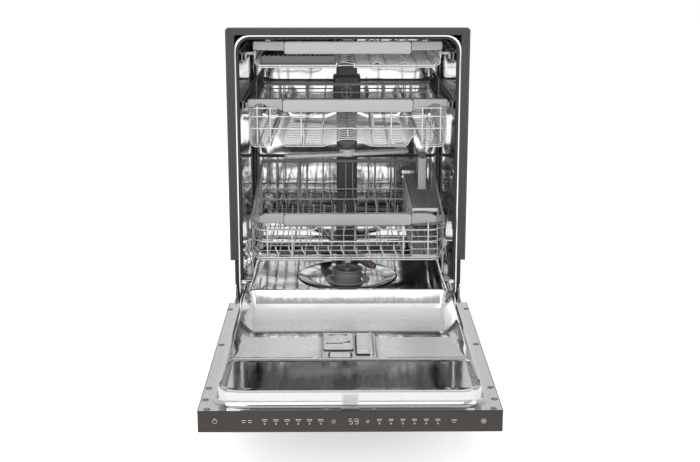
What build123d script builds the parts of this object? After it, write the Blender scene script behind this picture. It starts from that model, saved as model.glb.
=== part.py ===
"""Built in dishwasher with three racks, its door resting open at ninety degrees.

Millimetres, +Z up. The origin is on the floor under the middle of the open machine. The door
opens towards -Y, so the tub is at +Y and the control strip is the end nearest to -Y.
"""
import os

from build123d import *

os.makedirs("parts", exist_ok=True)

# ---- driving dimensions ----
unit_width = 603.0
unit_height = 854.0
front_y = 81.0  # front plane of the tub
back_y = 655.0
running_gap = 0.4  # between pieces that slide past each other
pin_fit = 0.06  # radial, between a pin and its hole

# tub, measured inside the sheet
sheet = 1.5
tub_half = 276.0
tub_top = 833.0
tub_floor = 150.0
tub_back = 610.0
tub_corner = 38.0
sill_y = 100.0  # the tub's lower front edge is set back to let the door's end pass
sill_top = 172.0
trim_width = 21.5
trim_foot = 263.0
gasket_width = 9.0
roof_bend_y = 270.0  # the ceiling falls from here to the back
roof_back = 806.0
roof_fall = (tub_top - roof_back) / (tub_back - roof_bend_y)
ledge_top = 200.0  # the lower rack's wheels run here

# door, open: its inner face looks up
hinge_y = 52.5
hinge_z = 141.5
door_half = 300.0
door_near = -655.0
door_far = 74.0
door_outer = 125.0
door_flange = 169.0
strip_depth = 4.0
rim_half = 266.0
rim_near = -624.0
rim_far = 42.0
rim_top = 199.0
rim_width = 9.0
notch_x = 281.0  # inside the hinge notches
notch_y = 22.0

# racks
rack_front = 116.0
rack_back = 572.0
rack_half = 252.0
wire = 4.0
spray_y = 375.0
filter_y = 285.0


def slab(x, y, z, mode=Mode.ADD):
    """A box between pairs of x, y and z, in the part being built."""
    with Locations(((x[0] + x[1]) / 2, (y[0] + y[1]) / 2, (z[0] + z[1]) / 2)):
        Box(x[1] - x[0], y[1] - y[0], z[1] - z[0], mode=mode)


def rod(start, along, radius, length, mode=Mode.ADD):
    """A round bar from a point along a direction, in the part being built."""
    place = Plane(origin=start, z_dir=along)
    with Locations(place):
        Cylinder(radius, length, align=(Align.CENTER, Align.CENTER, Align.MIN), mode=mode)


def save(builder, name):
    """Label one finished piece and write it as its own STEP file."""
    builder.part.label = name
    export_step(builder.part, f"parts/{name}.step")


def grille(plane, size, openings):
    """A flat grid of wires on a plane, with its outer edge at the given size."""
    across, up = size
    columns, rows = openings
    pitch_a = (across - wire) / columns
    pitch_u = (up - wire) / rows
    with BuildPart() as grid:
        with BuildSketch(plane):
            Rectangle(across, up)
            with GridLocations(pitch_a, pitch_u, columns, rows):
                Rectangle(pitch_a - wire, pitch_u - wire, mode=Mode.SUBTRACT)
        extrude(amount=wire)
    return grid.part


def front_plane(y, z):
    """A plane that looks to the front, with its own x along +X and y along +Z."""
    return Plane(origin=(0, y, z), x_dir=(1, 0, 0), z_dir=(0, -1, 0))


def side_plane(x, y, z):
    """A plane that looks to +X, with its own x along +Y and y along +Z."""
    return Plane(origin=(x, y, z), x_dir=(0, 1, 0), z_dir=(1, 0, 0))


def roof_line(y, above):
    """A point of the tub's sloped ceiling, at a height above its inner face."""
    return (y, tub_top - roof_fall * (y - roof_bend_y) + above)


def slope_roof(half, end, low, high):
    """Cut the piece being built down to a sloped roof, and close it with a sheet."""
    top = tub_top + 60
    above = [roof_line(roof_bend_y, high), roof_line(end + 2, high), (end + 2, top),
             (roof_bend_y, top)]
    sheet_line = [roof_line(roof_bend_y, low), roof_line(end, low), roof_line(end, high),
                  roof_line(roof_bend_y, high)]
    for band, reach, mode in ((above, 310, Mode.SUBTRACT), (sheet_line, half, Mode.ADD)):
        with BuildPart(mode=Mode.PRIVATE) as wedge:
            with BuildSketch(side_plane(-reach, 0, 0)):
                Polygon(*band, align=None)
            extrude(amount=2 * reach)
        add(wedge.part, mode=mode)


# ---- tub: a drawn steel box, open to the front ----
shell_z = (tub_top + tub_floor) / 2
with BuildPart() as tub_shell:
    with BuildSketch(front_plane(tub_back + sheet, shell_z)):
        RectangleRounded(
            2 * (tub_half + sheet), tub_top - tub_floor + 2 * sheet, tub_corner + sheet
        )
    extrude(amount=tub_back + sheet - front_y)
    with BuildSketch(front_plane(tub_back, shell_z)):
        RectangleRounded(2 * tub_half, tub_top - tub_floor, tub_corner)
    extrude(amount=tub_back - front_y, mode=Mode.SUBTRACT)
    slope_roof(tub_half + sheet, tub_back + sheet, 0, sheet)
    # narrow steel rim round the opening
    with BuildSketch(front_plane(front_y + 2, shell_z)):
        rim = unit_width / 2 - trim_width - 0.1
        RectangleRounded(2 * rim, tub_top - tub_floor + 2 * (rim - tub_half), tub_corner + 4)
        RectangleRounded(2 * tub_half, tub_top - tub_floor, tub_corner, mode=Mode.SUBTRACT)
    extrude(amount=2)
    # the lower front edge stands back from the door's swing
    slab((-300, 300), (front_y - 1, sill_y), (140, sill_top), mode=Mode.SUBTRACT)
    # sump opening, feed hole behind it
    rod((0, filter_y, tub_floor - 10), (0, 0, 1), 45, 20, mode=Mode.SUBTRACT)
    rod((0, spray_y, tub_floor - 10), (0, 0, 1), 16, 20, mode=Mode.SUBTRACT)
    for side in (-1, 1):
        ledge = sorted((side * 250, side * (tub_half + 0.5)))
        slab(ledge, (112, 600), (ledge_top - 8, ledge_top))
save(tub_shell, "tub_shell")

# ---- front trim: ribbed extrusion with mitred corners round the top and sides ----
trim_inner = unit_width / 2 - trim_width
trim_top_width = unit_height - tub_top - (trim_inner - tub_half) - 0.2
trim_back = front_y + 24
with BuildPart() as front_trim:
    with BuildSketch(front_plane(trim_back, (unit_height + trim_foot) / 2)):
        Rectangle(unit_width, unit_height - trim_foot)
        with Locations((0, -trim_top_width)):
            Rectangle(2 * trim_inner, unit_height - trim_foot, mode=Mode.SUBTRACT)
    extrude(amount=trim_back - front_y)
    for rib in range(3):
        groove = trim_inner + 4 + 5 * rib
        top = unit_height - trim_top_width + 3 + 4 * rib
        for side in (-1, 1):
            edge = sorted((side * groove, side * (groove + 2)))
            slab(edge, (front_y - 1, front_y + 1.5), (trim_foot - 1, top), mode=Mode.SUBTRACT)
        slab((-groove - 2, groove + 2), (front_y - 1, front_y + 1.5), (top, top + 2),
             mode=Mode.SUBTRACT)
    outer_corners = front_trim.edges().filter_by(Axis.Y).group_by(Axis.Z)[-1]
    fillet(outer_corners, 4)
save(front_trim, "front_trim")

# ---- door gasket: rubber round three sides of the opening ----
with BuildPart() as door_gasket:
    with BuildSketch(front_plane(front_y + 15, (tub_top + 209) / 2)):
        RectangleRounded(2 * tub_half - 0.2, tub_top - 209 - 0.1, tub_corner)
        with Locations((0, -gasket_width)):
            RectangleRounded(
                2 * (tub_half - gasket_width), tub_top - 209, tub_corner - gasket_width,
                mode=Mode.SUBTRACT,
            )
    extrude(amount=13)
    slab((-280, 280), (front_y, front_y + 16), (200, 245), mode=Mode.SUBTRACT)
    for side in (-1, 1):
        strip = sorted((side * (tub_half - gasket_width), side * (tub_half - 0.1)))
        slab(strip, (front_y + 2, front_y + 15), (209, 250))
save(door_gasket, "door_gasket")

# ---- insulation blanket round the tub ----
blanket = 15.0
roof_blanket = 5.0
blanket_low = 190.0
blanket_top = tub_top + sheet + 0.05 + roof_blanket
with BuildPart() as insulation_blanket:
    with BuildSketch(front_plane(tub_back, (blanket_top + blanket_low) / 2)):
        Rectangle(2 * (tub_half + sheet + blanket), blanket_top - blanket_low)
        with Locations((0, -roof_blanket)):
            Rectangle(2 * (tub_half + sheet + 0.05), blanket_top - blanket_low, mode=Mode.SUBTRACT)
    extrude(amount=tub_back - trim_back)
    fillet(insulation_blanket.edges().filter_by(Axis.Y).group_by(Axis.Z)[-1], 12)
    slope_roof(tub_half + sheet + 4, tub_back, sheet + 0.05, sheet + 0.05 + roof_blanket)
save(insulation_blanket, "insulation_blanket")

# ---- latch strike: a loop hanging behind the gasket ----
with BuildPart() as latch_strike:
    slab((-17, 17), (98, 109), (830, tub_top))
    slab((-12, 12), (102, 105), (822.5, 830))
    slab((-8, 8), (101, 106), (825, 828), mode=Mode.SUBTRACT)
save(latch_strike, "latch_strike")

# ---- base frame under the tub, with bosses for the four feet ----
base_half = 292.0
base_front = 106.0
base_back = 640.0
base_top = tub_floor - sheet
base_low = 24.0
wall = 14.0
tray = 3.0
foot_x = 262.0
foot_front_y = 150.0
foot_back_y = 600.0
foot_places = {
    "foot_front_left": (-foot_x, foot_front_y),
    "foot_front_right": (foot_x, foot_front_y),
    "foot_back_left": (-foot_x, foot_back_y),
    "foot_back_right": (foot_x, foot_back_y),
}
stud_radius = 6.0
service_x = (176.0, 228.0)  # opening in the tray under the junction box
service_y = (base_front + wall, 196.0)
weld_gap = 0.05  # between solids of one piece that are welded or moulded together
tray_z = (base_low, base_low + tray)
inner_half = base_half - wall
with BuildPart() as base_frame:
    wall_z = (base_low, base_top)
    slab((-base_half, base_half), (base_front, base_front + wall - weld_gap), wall_z)
    slab((-base_half, base_half), (base_back - wall + weld_gap, base_back), wall_z)
    for side in (-1, 1):
        edge = sorted((side * inner_half, side * base_half))
        slab(edge, (base_front + wall, base_back - wall), wall_z)
    across = inner_half - weld_gap
    slab((-across, service_x[0]), (base_front + wall, base_back - wall), tray_z)
    slab((service_x[1], across), (base_front + wall, base_back - wall), tray_z)
    slab((service_x[0] + weld_gap, service_x[1] - weld_gap), (service_y[1], base_back - wall),
         tray_z)
    for x, y in foot_places.values():
        outer = x / abs(x)
        boss_x = sorted((x - outer * 22, outer * across))
        slab(boss_x, (y - 22, y + 22), (tray_z[1] + weld_gap, base_low + 60))
    for x, y in foot_places.values():
        rod((x, y, base_low - 1), (0, 0, 1), stud_radius + pin_fit, 57, mode=Mode.SUBTRACT)
    # openings for hoses in the back wall
    for x in (-200, 200):
        rod((x, base_back + 1, 90), (0, -1, 0), 22, wall + 2, mode=Mode.SUBTRACT)
save(base_frame, "base_frame")

# ---- kick plate across the front of the base ----
with BuildPart() as kick_plate:
    slab((-298, 298), (102, base_front), (8, 112))
    slab((-298, 298), (90, 102), (108, 112))
save(kick_plate, "kick_plate")

# ---- feet: a disc on a threaded stud ----
for name, (x, y) in foot_places.items():
    with BuildPart() as foot:
        rod((x, y, 0), (0, 0, 1), 20, 9)
        rod((x, y, 9), (0, 0, 1), stud_radius, 50)
        fillet(foot.edges().group_by(Axis.Z)[0], 2)
    save(foot, name)

# ---- brackets and pins that the door turns on ----
bracket_x = (284, 291)
pin_radius = 4.5
with BuildPart() as hinge_brackets:
    slab(bracket_x, (44, base_front), (131, 160))
    slab((284, 289.5), (front_y + 1, 135), (base_top, 188))
    rod((bracket_x[1], hinge_y, hinge_z), (1, 0, 0), pin_radius, 7.4)
    mirror(about=Plane.YZ)
save(hinge_brackets, "hinge_brackets")

# ---- sump, filter and feed ----
with BuildPart() as sump:
    rod((0, filter_y, 96), (0, 0, 1), 44.8, tub_floor - 96)
    rod((0, filter_y, tub_floor), (0, 0, 1), 62, 2)
    rod((0, filter_y, 100), (0, 0, 1), 41, 60, mode=Mode.SUBTRACT)
    rod((0, spray_y, tub_floor), (0, 0, 1), 24, 4)
    rod((0, spray_y, 100), (0, 0, 1), 15.8, 105)
    slab((-12, 12), (filter_y + 40, spray_y - 10), (100, 122))
save(sump, "sump")

with BuildPart() as filter_cup:
    rod((0, filter_y, 106), (0, 0, 1), 38, 62)
    rod((0, filter_y, 110), (0, 0, 1), 35.5, 60, mode=Mode.SUBTRACT)
    rod((0, filter_y, 160), (0, 0, 1), 43, 4)
    rod((0, filter_y, 159), (0, 0, 1), 33, 8, mode=Mode.SUBTRACT)
    slab((-3, 3), (filter_y - 37, filter_y + 37), (110, 180))
    rod((0, filter_y, 176), (0, 0, 1), 42, 6)
    rod((0, filter_y, 175), (0, 0, 1), 34, 8, mode=Mode.SUBTRACT)
    slab((-3, 3), (filter_y - 35, filter_y + 35), (110, 182))
save(filter_cup, "filter_cup")

duct_half = 30.5
pipe_end = 582 - weld_gap
with BuildPart() as feed_duct:
    slab((-duct_half, duct_half), (582, tub_back), (tub_floor, 804))
    fillet(feed_duct.edges().filter_by(Axis.Z).group_by(Axis.Y)[0], 8)
    slab((-40, 40), (578, tub_back), (600, 676))
    # flat pipe under the sloped ceiling, and the ceiling sprayer at its end
    with BuildSketch(side_plane(-22, 0, 0)):
        Polygon(roof_line(400, -9), roof_line(pipe_end, -9), roof_line(pipe_end, -2),
                roof_line(400, -2),
                align=None)
    extrude(amount=44)
    rod((0, 400, 806), (0, 0, 1), 30, 13)
    slab((-9, 9), (576, 584), (606, 634), mode=Mode.SUBTRACT)
save(feed_duct, "feed_duct")

# ---- spray arms ----
with BuildPart() as lower_spray_arm:
    rod((0, spray_y, 205.5), (0, 0, 1), 34, 18)
    with BuildSketch(Plane.XY.offset(208)):
        for turn in (20, 110, 200, 290):
            with Locations(Location((0, spray_y, 0), turn)):
                with Locations((102, 0)):
                    SlotOverall(208, 40)
    extrude(amount=12)
save(lower_spray_arm, "lower_spray_arm")

upper_arm_y = 345.0
upper_floor = 549.0
with BuildPart() as upper_manifold:
    slab((-22, 22), (upper_arm_y - 20, 574), (516, 534))
    rod((0, upper_arm_y, 506), (0, 0, 1), 24, 28)
    slab((-30, 30), (552, 574), (516, upper_floor))
save(upper_manifold, "upper_manifold")

with BuildPart() as upper_spray_arm:
    rod((0, upper_arm_y, 484), (0, 0, 1), 22, 21)
    with BuildSketch(Plane.XY.offset(486)):
        with Locations(Location((0, upper_arm_y, 0), 12)):
            SlotOverall(350, 36)
    extrude(amount=10)
save(upper_spray_arm, "upper_spray_arm")

# ---- slides of the upper and third racks: channel, middle member, runner ----
channel_x = (266.8, tub_half)
middle_x = (260.0, 266.4)
runner_x = (252.0, 259.6)
upper_rail_z = 658.0
third_rail_z = 780.0
for prefix, z in (("upper", upper_rail_z), ("third", third_rail_z)):
    with BuildPart() as channels:
        slab(channel_x, (120, 600), (z - 14, z + 14))
        slab((channel_x[0] - 1, channel_x[0] + 5), (119, 601), (z - 9, z + 9), mode=Mode.SUBTRACT)
        mirror(about=Plane.YZ)
    save(channels, f"{prefix}_rail_channels")
    with BuildPart() as slides:
        slab(middle_x, (122, 590), (z - 10, z + 10))
        slab((middle_x[0] - 1, middle_x[0] + 3), (121, 591), (z - 7.5, z + 7.5), mode=Mode.SUBTRACT)
        mirror(about=Plane.YZ)
    save(slides, f"{prefix}_slides")

# ---- lower rack ----
rack_depth = rack_back - rack_front
rack_middle = (rack_front + rack_back) / 2
lower_floor = 251.0
lower_rim = 350.0
handle_height = 28.0
handle_front = 112.0
handle_back = 126.0
rim_bar = 8.0
insert_half = 164.0
insert_face = 1.2
wheel_radius = 14.0
wheel_z = ledge_top + wheel_radius + running_gap
wheel_x = (253.0, 264.0)
wheel_places = {"front": 160.0, "back": 540.0}
axle_radius = 3.0


def rim_outline(half, corner_cut):
    """The plan of a rack's rim: a deep front bar with chamfered corners and three thin bars."""
    with BuildSketch() as plan:
        with Locations((0, (handle_front + rack_back) / 2)):
            Rectangle(2 * half, rack_back - handle_front)
        if corner_cut:
            chamfer(plan.vertices().group_by(Axis.Y)[0], corner_cut)
        with Locations((0, (handle_back + rack_back - rim_bar) / 2)):
            Rectangle(2 * (half - rim_bar), rack_back - rim_bar - handle_back, mode=Mode.SUBTRACT)
    return plan.sketch


def rack_ends(floor_z, top_z, half, columns, rows):
    """Front and back grilles of a rack."""
    size = (2 * half, top_z - floor_z - wire)
    middle = (top_z + floor_z + wire) / 2
    with BuildPart() as ends:
        add(grille(front_plane(rack_front + wire, middle), size, (columns, rows)))
        add(grille(front_plane(rack_back, middle), size, (columns, rows)))
    return ends


def rack_sides(floor_z, top_z, half, columns, rows):
    """Left and right grilles of a rack, between its ends."""
    size = (rack_depth - 2 * wire, top_z - floor_z - wire)
    middle = (top_z + floor_z + wire) / 2
    with BuildPart() as sides:
        add(grille(side_plane(half - wire, rack_middle, middle), size, (columns, rows)))
    return sides


def rack_floor(floor_z, half, columns, rows):
    """Floor grille of a rack."""
    with BuildPart() as floor:
        place = Plane.XY.offset(floor_z).shift_origin((0, rack_middle, floor_z))
        add(grille(place, (2 * half, rack_depth), (columns, rows)))
    return floor


lower_ends = rack_ends(lower_floor, lower_rim, rack_half, 16, 3)
save(lower_ends, "lower_rack_ends")

lower_side = rack_sides(lower_floor, lower_rim, rack_half, 14, 3)
with BuildPart() as lower_sides:
    add(lower_side.part)
    for y in wheel_places.values():
        slab((rack_half - wire, rack_half), (y - 8, y + 8), (wheel_z - 8, lower_floor + wire))
        rod((rack_half - wire, y, wheel_z), (1, 0, 0), axle_radius, wheel_x[1] - rack_half + wire)
    mirror(about=Plane.YZ)
save(lower_sides, "lower_rack_sides")

save(rack_floor(lower_floor, rack_half - wire, 18, 14), "lower_rack_floor")

with BuildPart() as lower_rack_rim:
    with BuildSketch(Plane.XY.offset(lower_rim)):
        add(rim_outline(rack_half, 24))
    extrude(amount=16)
    slab((-rack_half + 24, rack_half - 24), (handle_front, handle_back),
         (lower_rim + 16, lower_rim + handle_height))
save(lower_rack_rim, "lower_rack_rim")

with BuildPart() as lower_handle_insert:
    slab((-insert_half, insert_half), (handle_front - insert_face, handle_front),
         (lower_rim - 3, lower_rim + handle_height))
save(lower_handle_insert, "lower_handle_insert")

for side_name, side in (("left", -1), ("right", 1)):
    for end_name, y in wheel_places.items():
        start_x = wheel_x[0] if side > 0 else -wheel_x[1]
        with BuildPart() as wheel:
            rod((start_x, y, wheel_z), (1, 0, 0), wheel_radius, wheel_x[1] - wheel_x[0])
            rod((start_x - 1, y, wheel_z), (1, 0, 0), axle_radius + pin_fit, 14,
                mode=Mode.SUBTRACT)
        save(wheel, f"lower_wheel_{end_name}_{side_name}")

tine_axis_z = 262.0
tine_x = (-226.0, 146.0)
tine_rows = {"front": 225.0, "back": 400.0}
tine_radius = 2.2
tine_length = 72.0
tine_count = 13
with BuildPart() as tine_clips:
    for y in tine_rows.values():
        for start in (tine_x[0] - 9, tine_x[1] + 1):
            slab((start, start + 8), (y - 6, y + 6), (lower_floor + wire, tine_axis_z + 6))
            rod((start - 1, y, tine_axis_z), (1, 0, 0), tine_radius + pin_fit, 10,
                mode=Mode.SUBTRACT)
save(tine_clips, "tine_clips")

for name, y in tine_rows.items():
    pitch = (tine_x[1] - tine_x[0] - 16) / (tine_count - 1)
    with BuildPart() as tines:
        rod((tine_x[0] - 8, y, tine_axis_z), (1, 0, 0), tine_radius, tine_x[1] - tine_x[0] + 16)
        for tine in range(tine_count):
            rod((tine_x[0] + 8 + tine * pitch, y, tine_axis_z), (0, 0, 1), 1.9, tine_length)
    save(tines, f"tine_row_{name}")

# ---- cutlery basket along the right side of the lower rack ----
basket_x = (166.0, 234.0)
basket_y = (130.0, 556.0)
basket_z = (lower_floor + wire + running_gap, 388.0)
basket_wall = 2.4
grip_x = (195.0, 217.0)
with BuildPart() as cutlery_basket:
    slab(basket_x, basket_y, basket_z)
    slab((basket_x[0] + basket_wall, basket_x[1] - basket_wall),
         (basket_y[0] + basket_wall, basket_y[1] - basket_wall),
         (basket_z[0] + basket_wall, basket_z[1] + 1), mode=Mode.SUBTRACT)
    with BuildSketch(front_plane(basket_y[0] + 4, 312)):
        with Locations(((basket_x[0] + basket_x[1]) / 2, 0)):
            with GridLocations(14, 14, 4, 6):
                Rectangle(9, 9)
    extrude(amount=6, mode=Mode.SUBTRACT)
save(cutlery_basket, "cutlery_basket")

cover_rails = 4
cover_bars = 20
with BuildPart() as basket_cover:
    # long rails under cross bars, with openings between them for the cutlery
    layer_z = basket_z[1] + 1.5
    rail_pitch = (basket_x[1] - basket_x[0] - 2.4) / (cover_rails - 1)
    for rail in range(cover_rails):
        start = basket_x[0] + rail * rail_pitch
        slab((start, start + 2.4), basket_y, (basket_z[1], layer_z))
    bar_pitch = (basket_y[1] - basket_y[0] - 2.4) / (cover_bars - 1)
    for bar in range(cover_bars):
        start = basket_y[0] + bar * bar_pitch
        slab(basket_x, (start, start + 2.4), (layer_z + weld_gap, basket_z[1] + 3))
    slab(grip_x, (338, 352), (basket_z[1] + 3 + weld_gap, 505))
    rod((206, 353, 488), (0, -1, 0), 7, 16, mode=Mode.SUBTRACT)
save(basket_cover, "basket_cover")

# ---- upper rack ----
upper_rim = 642.0
shelf_x = 236.0
shelf_z = 650.0
shelf_y = (205.0, 500.0)
shelf_pin = 2.0
save(rack_ends(upper_floor, upper_rim, rack_half, 16, 3), "upper_rack_ends")

upper_side = rack_sides(upper_floor, upper_rim, rack_half, 14, 3).part
with BuildPart() as upper_sides:
    add(upper_side)
    mirror(upper_side, about=Plane.YZ)
save(upper_sides, "upper_rack_sides")

save(rack_floor(upper_floor, rack_half, 18, 16), "upper_rack_floor")

with BuildPart() as upper_rack_rim:
    with BuildSketch(Plane.XY.offset(upper_rim)):
        add(rim_outline(rack_half, 0))
    extrude(amount=20)
    slab((-rack_half, rack_half), (handle_front, handle_back),
         (upper_rim + 20, upper_rim + handle_height + 4))
    for side in (-1, 1):
        runner = sorted((side * runner_x[0], side * runner_x[1]))
        slab(runner, (124, rack_back), (upper_rail_z - 7, upper_rail_z + 7))
        for y, reach in ((shelf_y[0] - 6, 1), (shelf_y[1] + 1, -1)):
            bracket = sorted((side * (shelf_x - 4), side * (rack_half - rim_bar)))
            slab(bracket, (y, y + 5), (shelf_z - 5, shelf_z + 5))
            rod((side * shelf_x, y + 2.5, shelf_z), (0, reach, 0), shelf_pin, 11)
save(upper_rack_rim, "upper_rack_rim")

with BuildPart() as upper_handle_insert:
    slab((-insert_half, insert_half), (handle_front - insert_face, handle_front),
         (upper_rim - 1, upper_rim + handle_height + 4))
save(upper_handle_insert, "upper_handle_insert")

for name, side in (("left", -1), ("right", 1)):
    with BuildPart() as shelf:
        rod((side * shelf_x, shelf_y[0], shelf_z), (0, 1, 0), 4.2, shelf_y[1] - shelf_y[0])
        plate = sorted((side * (shelf_x - 1.5), side * (shelf_x + 1.5)))
        slab(plate, shelf_y, (shelf_z, 716))
        for y, reach in ((shelf_y[0] - 1, 1), (shelf_y[1] + 1, -1)):
            rod((side * shelf_x, y, shelf_z), (0, reach, 0), shelf_pin + pin_fit, 12,
                mode=Mode.SUBTRACT)
    save(shelf, f"cup_shelf_{name}")

# ---- third rack: shallow, with a plastic tray on its left ----
third_half = 236.0
third_floor = 753.0
third_rim = 788.0
third_side = rack_sides(third_floor + weld_gap, third_rim, third_half, 12, 1).part
with BuildPart() as third_rack_basket:
    add(rack_floor(third_floor, third_half, 16, 14).part)
    add(rack_ends(third_floor + weld_gap, third_rim, third_half - wire - weld_gap, 14, 1).part)
    add(third_side)
    mirror(third_side, about=Plane.YZ)
save(third_rack_basket, "third_rack_basket")

with BuildPart() as third_rack_rim:
    with BuildSketch(Plane.XY.offset(third_rim)):
        add(rim_outline(third_half, 0))
    extrude(amount=8)
    slab((-third_half, third_half), (handle_front, handle_back), (third_rim + 8, 819))
    for side in (-1, 1):
        web = sorted((side * third_half, side * runner_x[1]))
        slab(web, (124, rack_back), (third_rail_z + 4, third_rim + 4))
        lip = sorted((side * runner_x[0], side * runner_x[1]))
        slab(lip, (124, rack_back), (third_rail_z - 7, third_rail_z + 7))
save(third_rack_rim, "third_rack_rim")

tray_x = (-218.0, -31.0)
tray_y = (124.0, 550.0)
cutlery_z = (third_floor + wire, 781.0)
with BuildPart() as third_rack_tray:
    slab(tray_x, tray_y, cutlery_z)
    slab((tray_x[0] + 2, tray_x[1] - 2), (tray_y[0] + 2, tray_y[1] - 2),
         (cutlery_z[0] + 2, cutlery_z[1] + 1), mode=Mode.SUBTRACT)
save(third_rack_tray, "third_rack_tray")

# ---- door: a shallow outer box closed by the stamped inner liner ----
skin = 1.5
flange_under = door_flange - skin


def cut_hinge_notches():
    """Open the two hinge corners of the door piece being built."""
    for side in (-1, 1):
        corner = sorted((side * notch_x, side * (door_half + 2)))
        slab(corner, (notch_y, door_far + 2), (100, 210), mode=Mode.SUBTRACT)


with BuildPart() as door_outer_panel:
    slab((-door_half, door_half), (door_near + strip_depth, door_far), (door_outer, flange_under))
    slab((-door_half + skin, door_half - skin),
         (door_near + strip_depth + skin, door_far - skin),
         (door_outer + skin, door_flange), mode=Mode.SUBTRACT)
    slab((-150, 150), (-630, -590), (door_outer - 1, door_outer + 5), mode=Mode.SUBTRACT)
    cut_hinge_notches()
save(door_outer_panel, "door_outer_panel")

# recessed grip in the outer face, near the top of the closed door
with BuildPart() as handle_pocket:
    slab((-150, 150), (-630, -590), (door_outer, door_outer + 24))
    slab((-147, 147), (-627, -593), (door_outer - 1, door_outer + 21), mode=Mode.SUBTRACT)
save(handle_pocket, "handle_pocket")

with BuildPart() as control_strip:
    slab((-door_half + 1, door_half - 1), (door_near, door_near + strip_depth),
         (door_outer + 0.5, door_flange - 0.5))
    fillet(control_strip.edges().filter_by(Axis.X).group_by(Axis.Y)[0], 1)
save(control_strip, "control_strip")

pan_half = rim_half - rim_width
pan_near = rim_near + rim_width
pan_far = rim_far - rim_width
ridge_y = -402.0
pan_thick = 2.5
dispenser_x = (-60.0, 60.0)
dispenser_y = (-400.0, -230.0)
dispenser_top = 176.0
pan_line = [
    (pan_near - 1, 178),
    (ridge_y, 178),
    (ridge_y, 190),
    (-225, dispenser_top - 0.5),
    (-120, 158),
    (pan_far + 1, 156),
    (pan_far + 1, 156 - pan_thick),
    (-122, 158 - pan_thick),
    (-228, dispenser_top - 0.5 - pan_thick),
    (ridge_y + pan_thick, 190 - pan_thick),
    (ridge_y + pan_thick, 178 - pan_thick),
    (pan_near - 1, 178 - pan_thick),
]
rim_middle = (rim_near + rim_far) / 2
rim_length = rim_far - rim_near
with BuildPart() as door_liner:
    slab((-door_half, door_half), (door_near + strip_depth, door_far), (flange_under, door_flange))
    with BuildSketch(Plane.XY.offset(154)):
        with Locations((0, rim_middle)):
            RectangleRounded(2 * rim_half, rim_length, 38)
    extrude(amount=rim_top - 154)
    with BuildSketch(Plane.XY.offset(153)):
        with Locations((0, rim_middle)):
            RectangleRounded(2 * pan_half, rim_length - 2 * rim_width, 29)
    extrude(amount=rim_top - 152, mode=Mode.SUBTRACT)
    with BuildSketch(side_plane(-pan_half - 1, 0, 0)):
        Polygon(*pan_line, align=None)
    extrude(amount=2 * pan_half + 2)
    slab((dispenser_x[0] - 0.3, dispenser_x[1] + 0.3), (dispenser_y[0] - 0.3, dispenser_y[1] + 0.3),
         (140, 195), mode=Mode.SUBTRACT)
    slab((-16, 16), (-644, -635), (160, 172), mode=Mode.SUBTRACT)
    cut_hinge_notches()
save(door_liner, "door_liner")

# ---- detergent and rinse aid dispenser ----
lid_top = 4.6
detergent_x = (-57.0, 9.0)
detergent_y = (-337.0, -239.0)
rinse_x = (17.0, 45.0)
rinse_y = (-366.0, -240.0)
rinse_pin_x = 48.5
rinse_pin_z = dispenser_top + 4.4
barrel = 3.0
rinse_pin = 1.5
with BuildPart() as dispenser_body:
    slab(dispenser_x, dispenser_y, (132, dispenser_top))
    slab((-50, 2), (-330, -246), (140, dispenser_top + 1), mode=Mode.SUBTRACT)
    with Locations((31, -303, dispenser_top - 6)):
        Cylinder(10, 14, mode=Mode.SUBTRACT)
    # guides that the detergent lid slides between
    for guide in ((detergent_x[0] - 2.2, detergent_x[0] - 0.6), (detergent_x[1] + 0.6, 11.2)):
        slab(guide, detergent_y, (dispenser_top, dispenser_top + lid_top + 1))
    # ears and pin of the rinse aid lid
    for y in (rinse_y[0] - 3.6, rinse_y[1] + 0.6):
        slab((rinse_pin_x - barrel, rinse_pin_x + barrel), (y, y + 3),
             (dispenser_top, rinse_pin_z + 2.4))
    rod((rinse_pin_x, rinse_y[0] - 3, rinse_pin_z), (0, 1, 0), rinse_pin,
        rinse_y[1] - rinse_y[0] + 6)
save(dispenser_body, "dispenser_body")

with BuildPart() as detergent_lid:
    slab(detergent_x, detergent_y,
         (dispenser_top + running_gap, dispenser_top + running_gap + lid_top))
    fillet(detergent_lid.edges().filter_by(Axis.Z), 3)
    slab((-44, -1), (-250, -246), (dispenser_top + 3.4, dispenser_top + 6), mode=Mode.SUBTRACT)
save(detergent_lid, "detergent_lid")

with BuildPart() as rinse_aid_lid:
    slab((rinse_x[0], rinse_pin_x), rinse_y, (rinse_pin_z - 2.6, rinse_pin_z + 1))
    rod((rinse_pin_x, rinse_y[0], rinse_pin_z), (0, 1, 0), barrel, rinse_y[1] - rinse_y[0])
    rod((rinse_pin_x, rinse_y[0] - 1, rinse_pin_z), (0, 1, 0), rinse_pin + pin_fit,
        rinse_y[1] - rinse_y[0] + 2, mode=Mode.SUBTRACT)
save(rinse_aid_lid, "rinse_aid_lid")

# ---- vent cover on the liner's end wall, and the liner's screws ----
with BuildPart() as vent_cover:
    slab((-17, 17), (rim_near - 2, rim_near), (172, 195))
    slab((-9, 9), (rim_near - 3, rim_near - 1), (178, 189), mode=Mode.SUBTRACT)
save(vent_cover, "vent_cover")

screw_places = [
    (side * x, y)
    for side in (-1, 1)
    for x, y in ((294, -30), (290, -281), (290, -535), (290, -595), (282, -642), (47, -641))
]
with BuildPart() as liner_screws:
    with BuildSketch(Plane.XY.offset(door_flange)):
        with Locations(*screw_places):
            Circle(3.4)
    extrude(amount=0.5)
save(liner_screws, "liner_screws")

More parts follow.
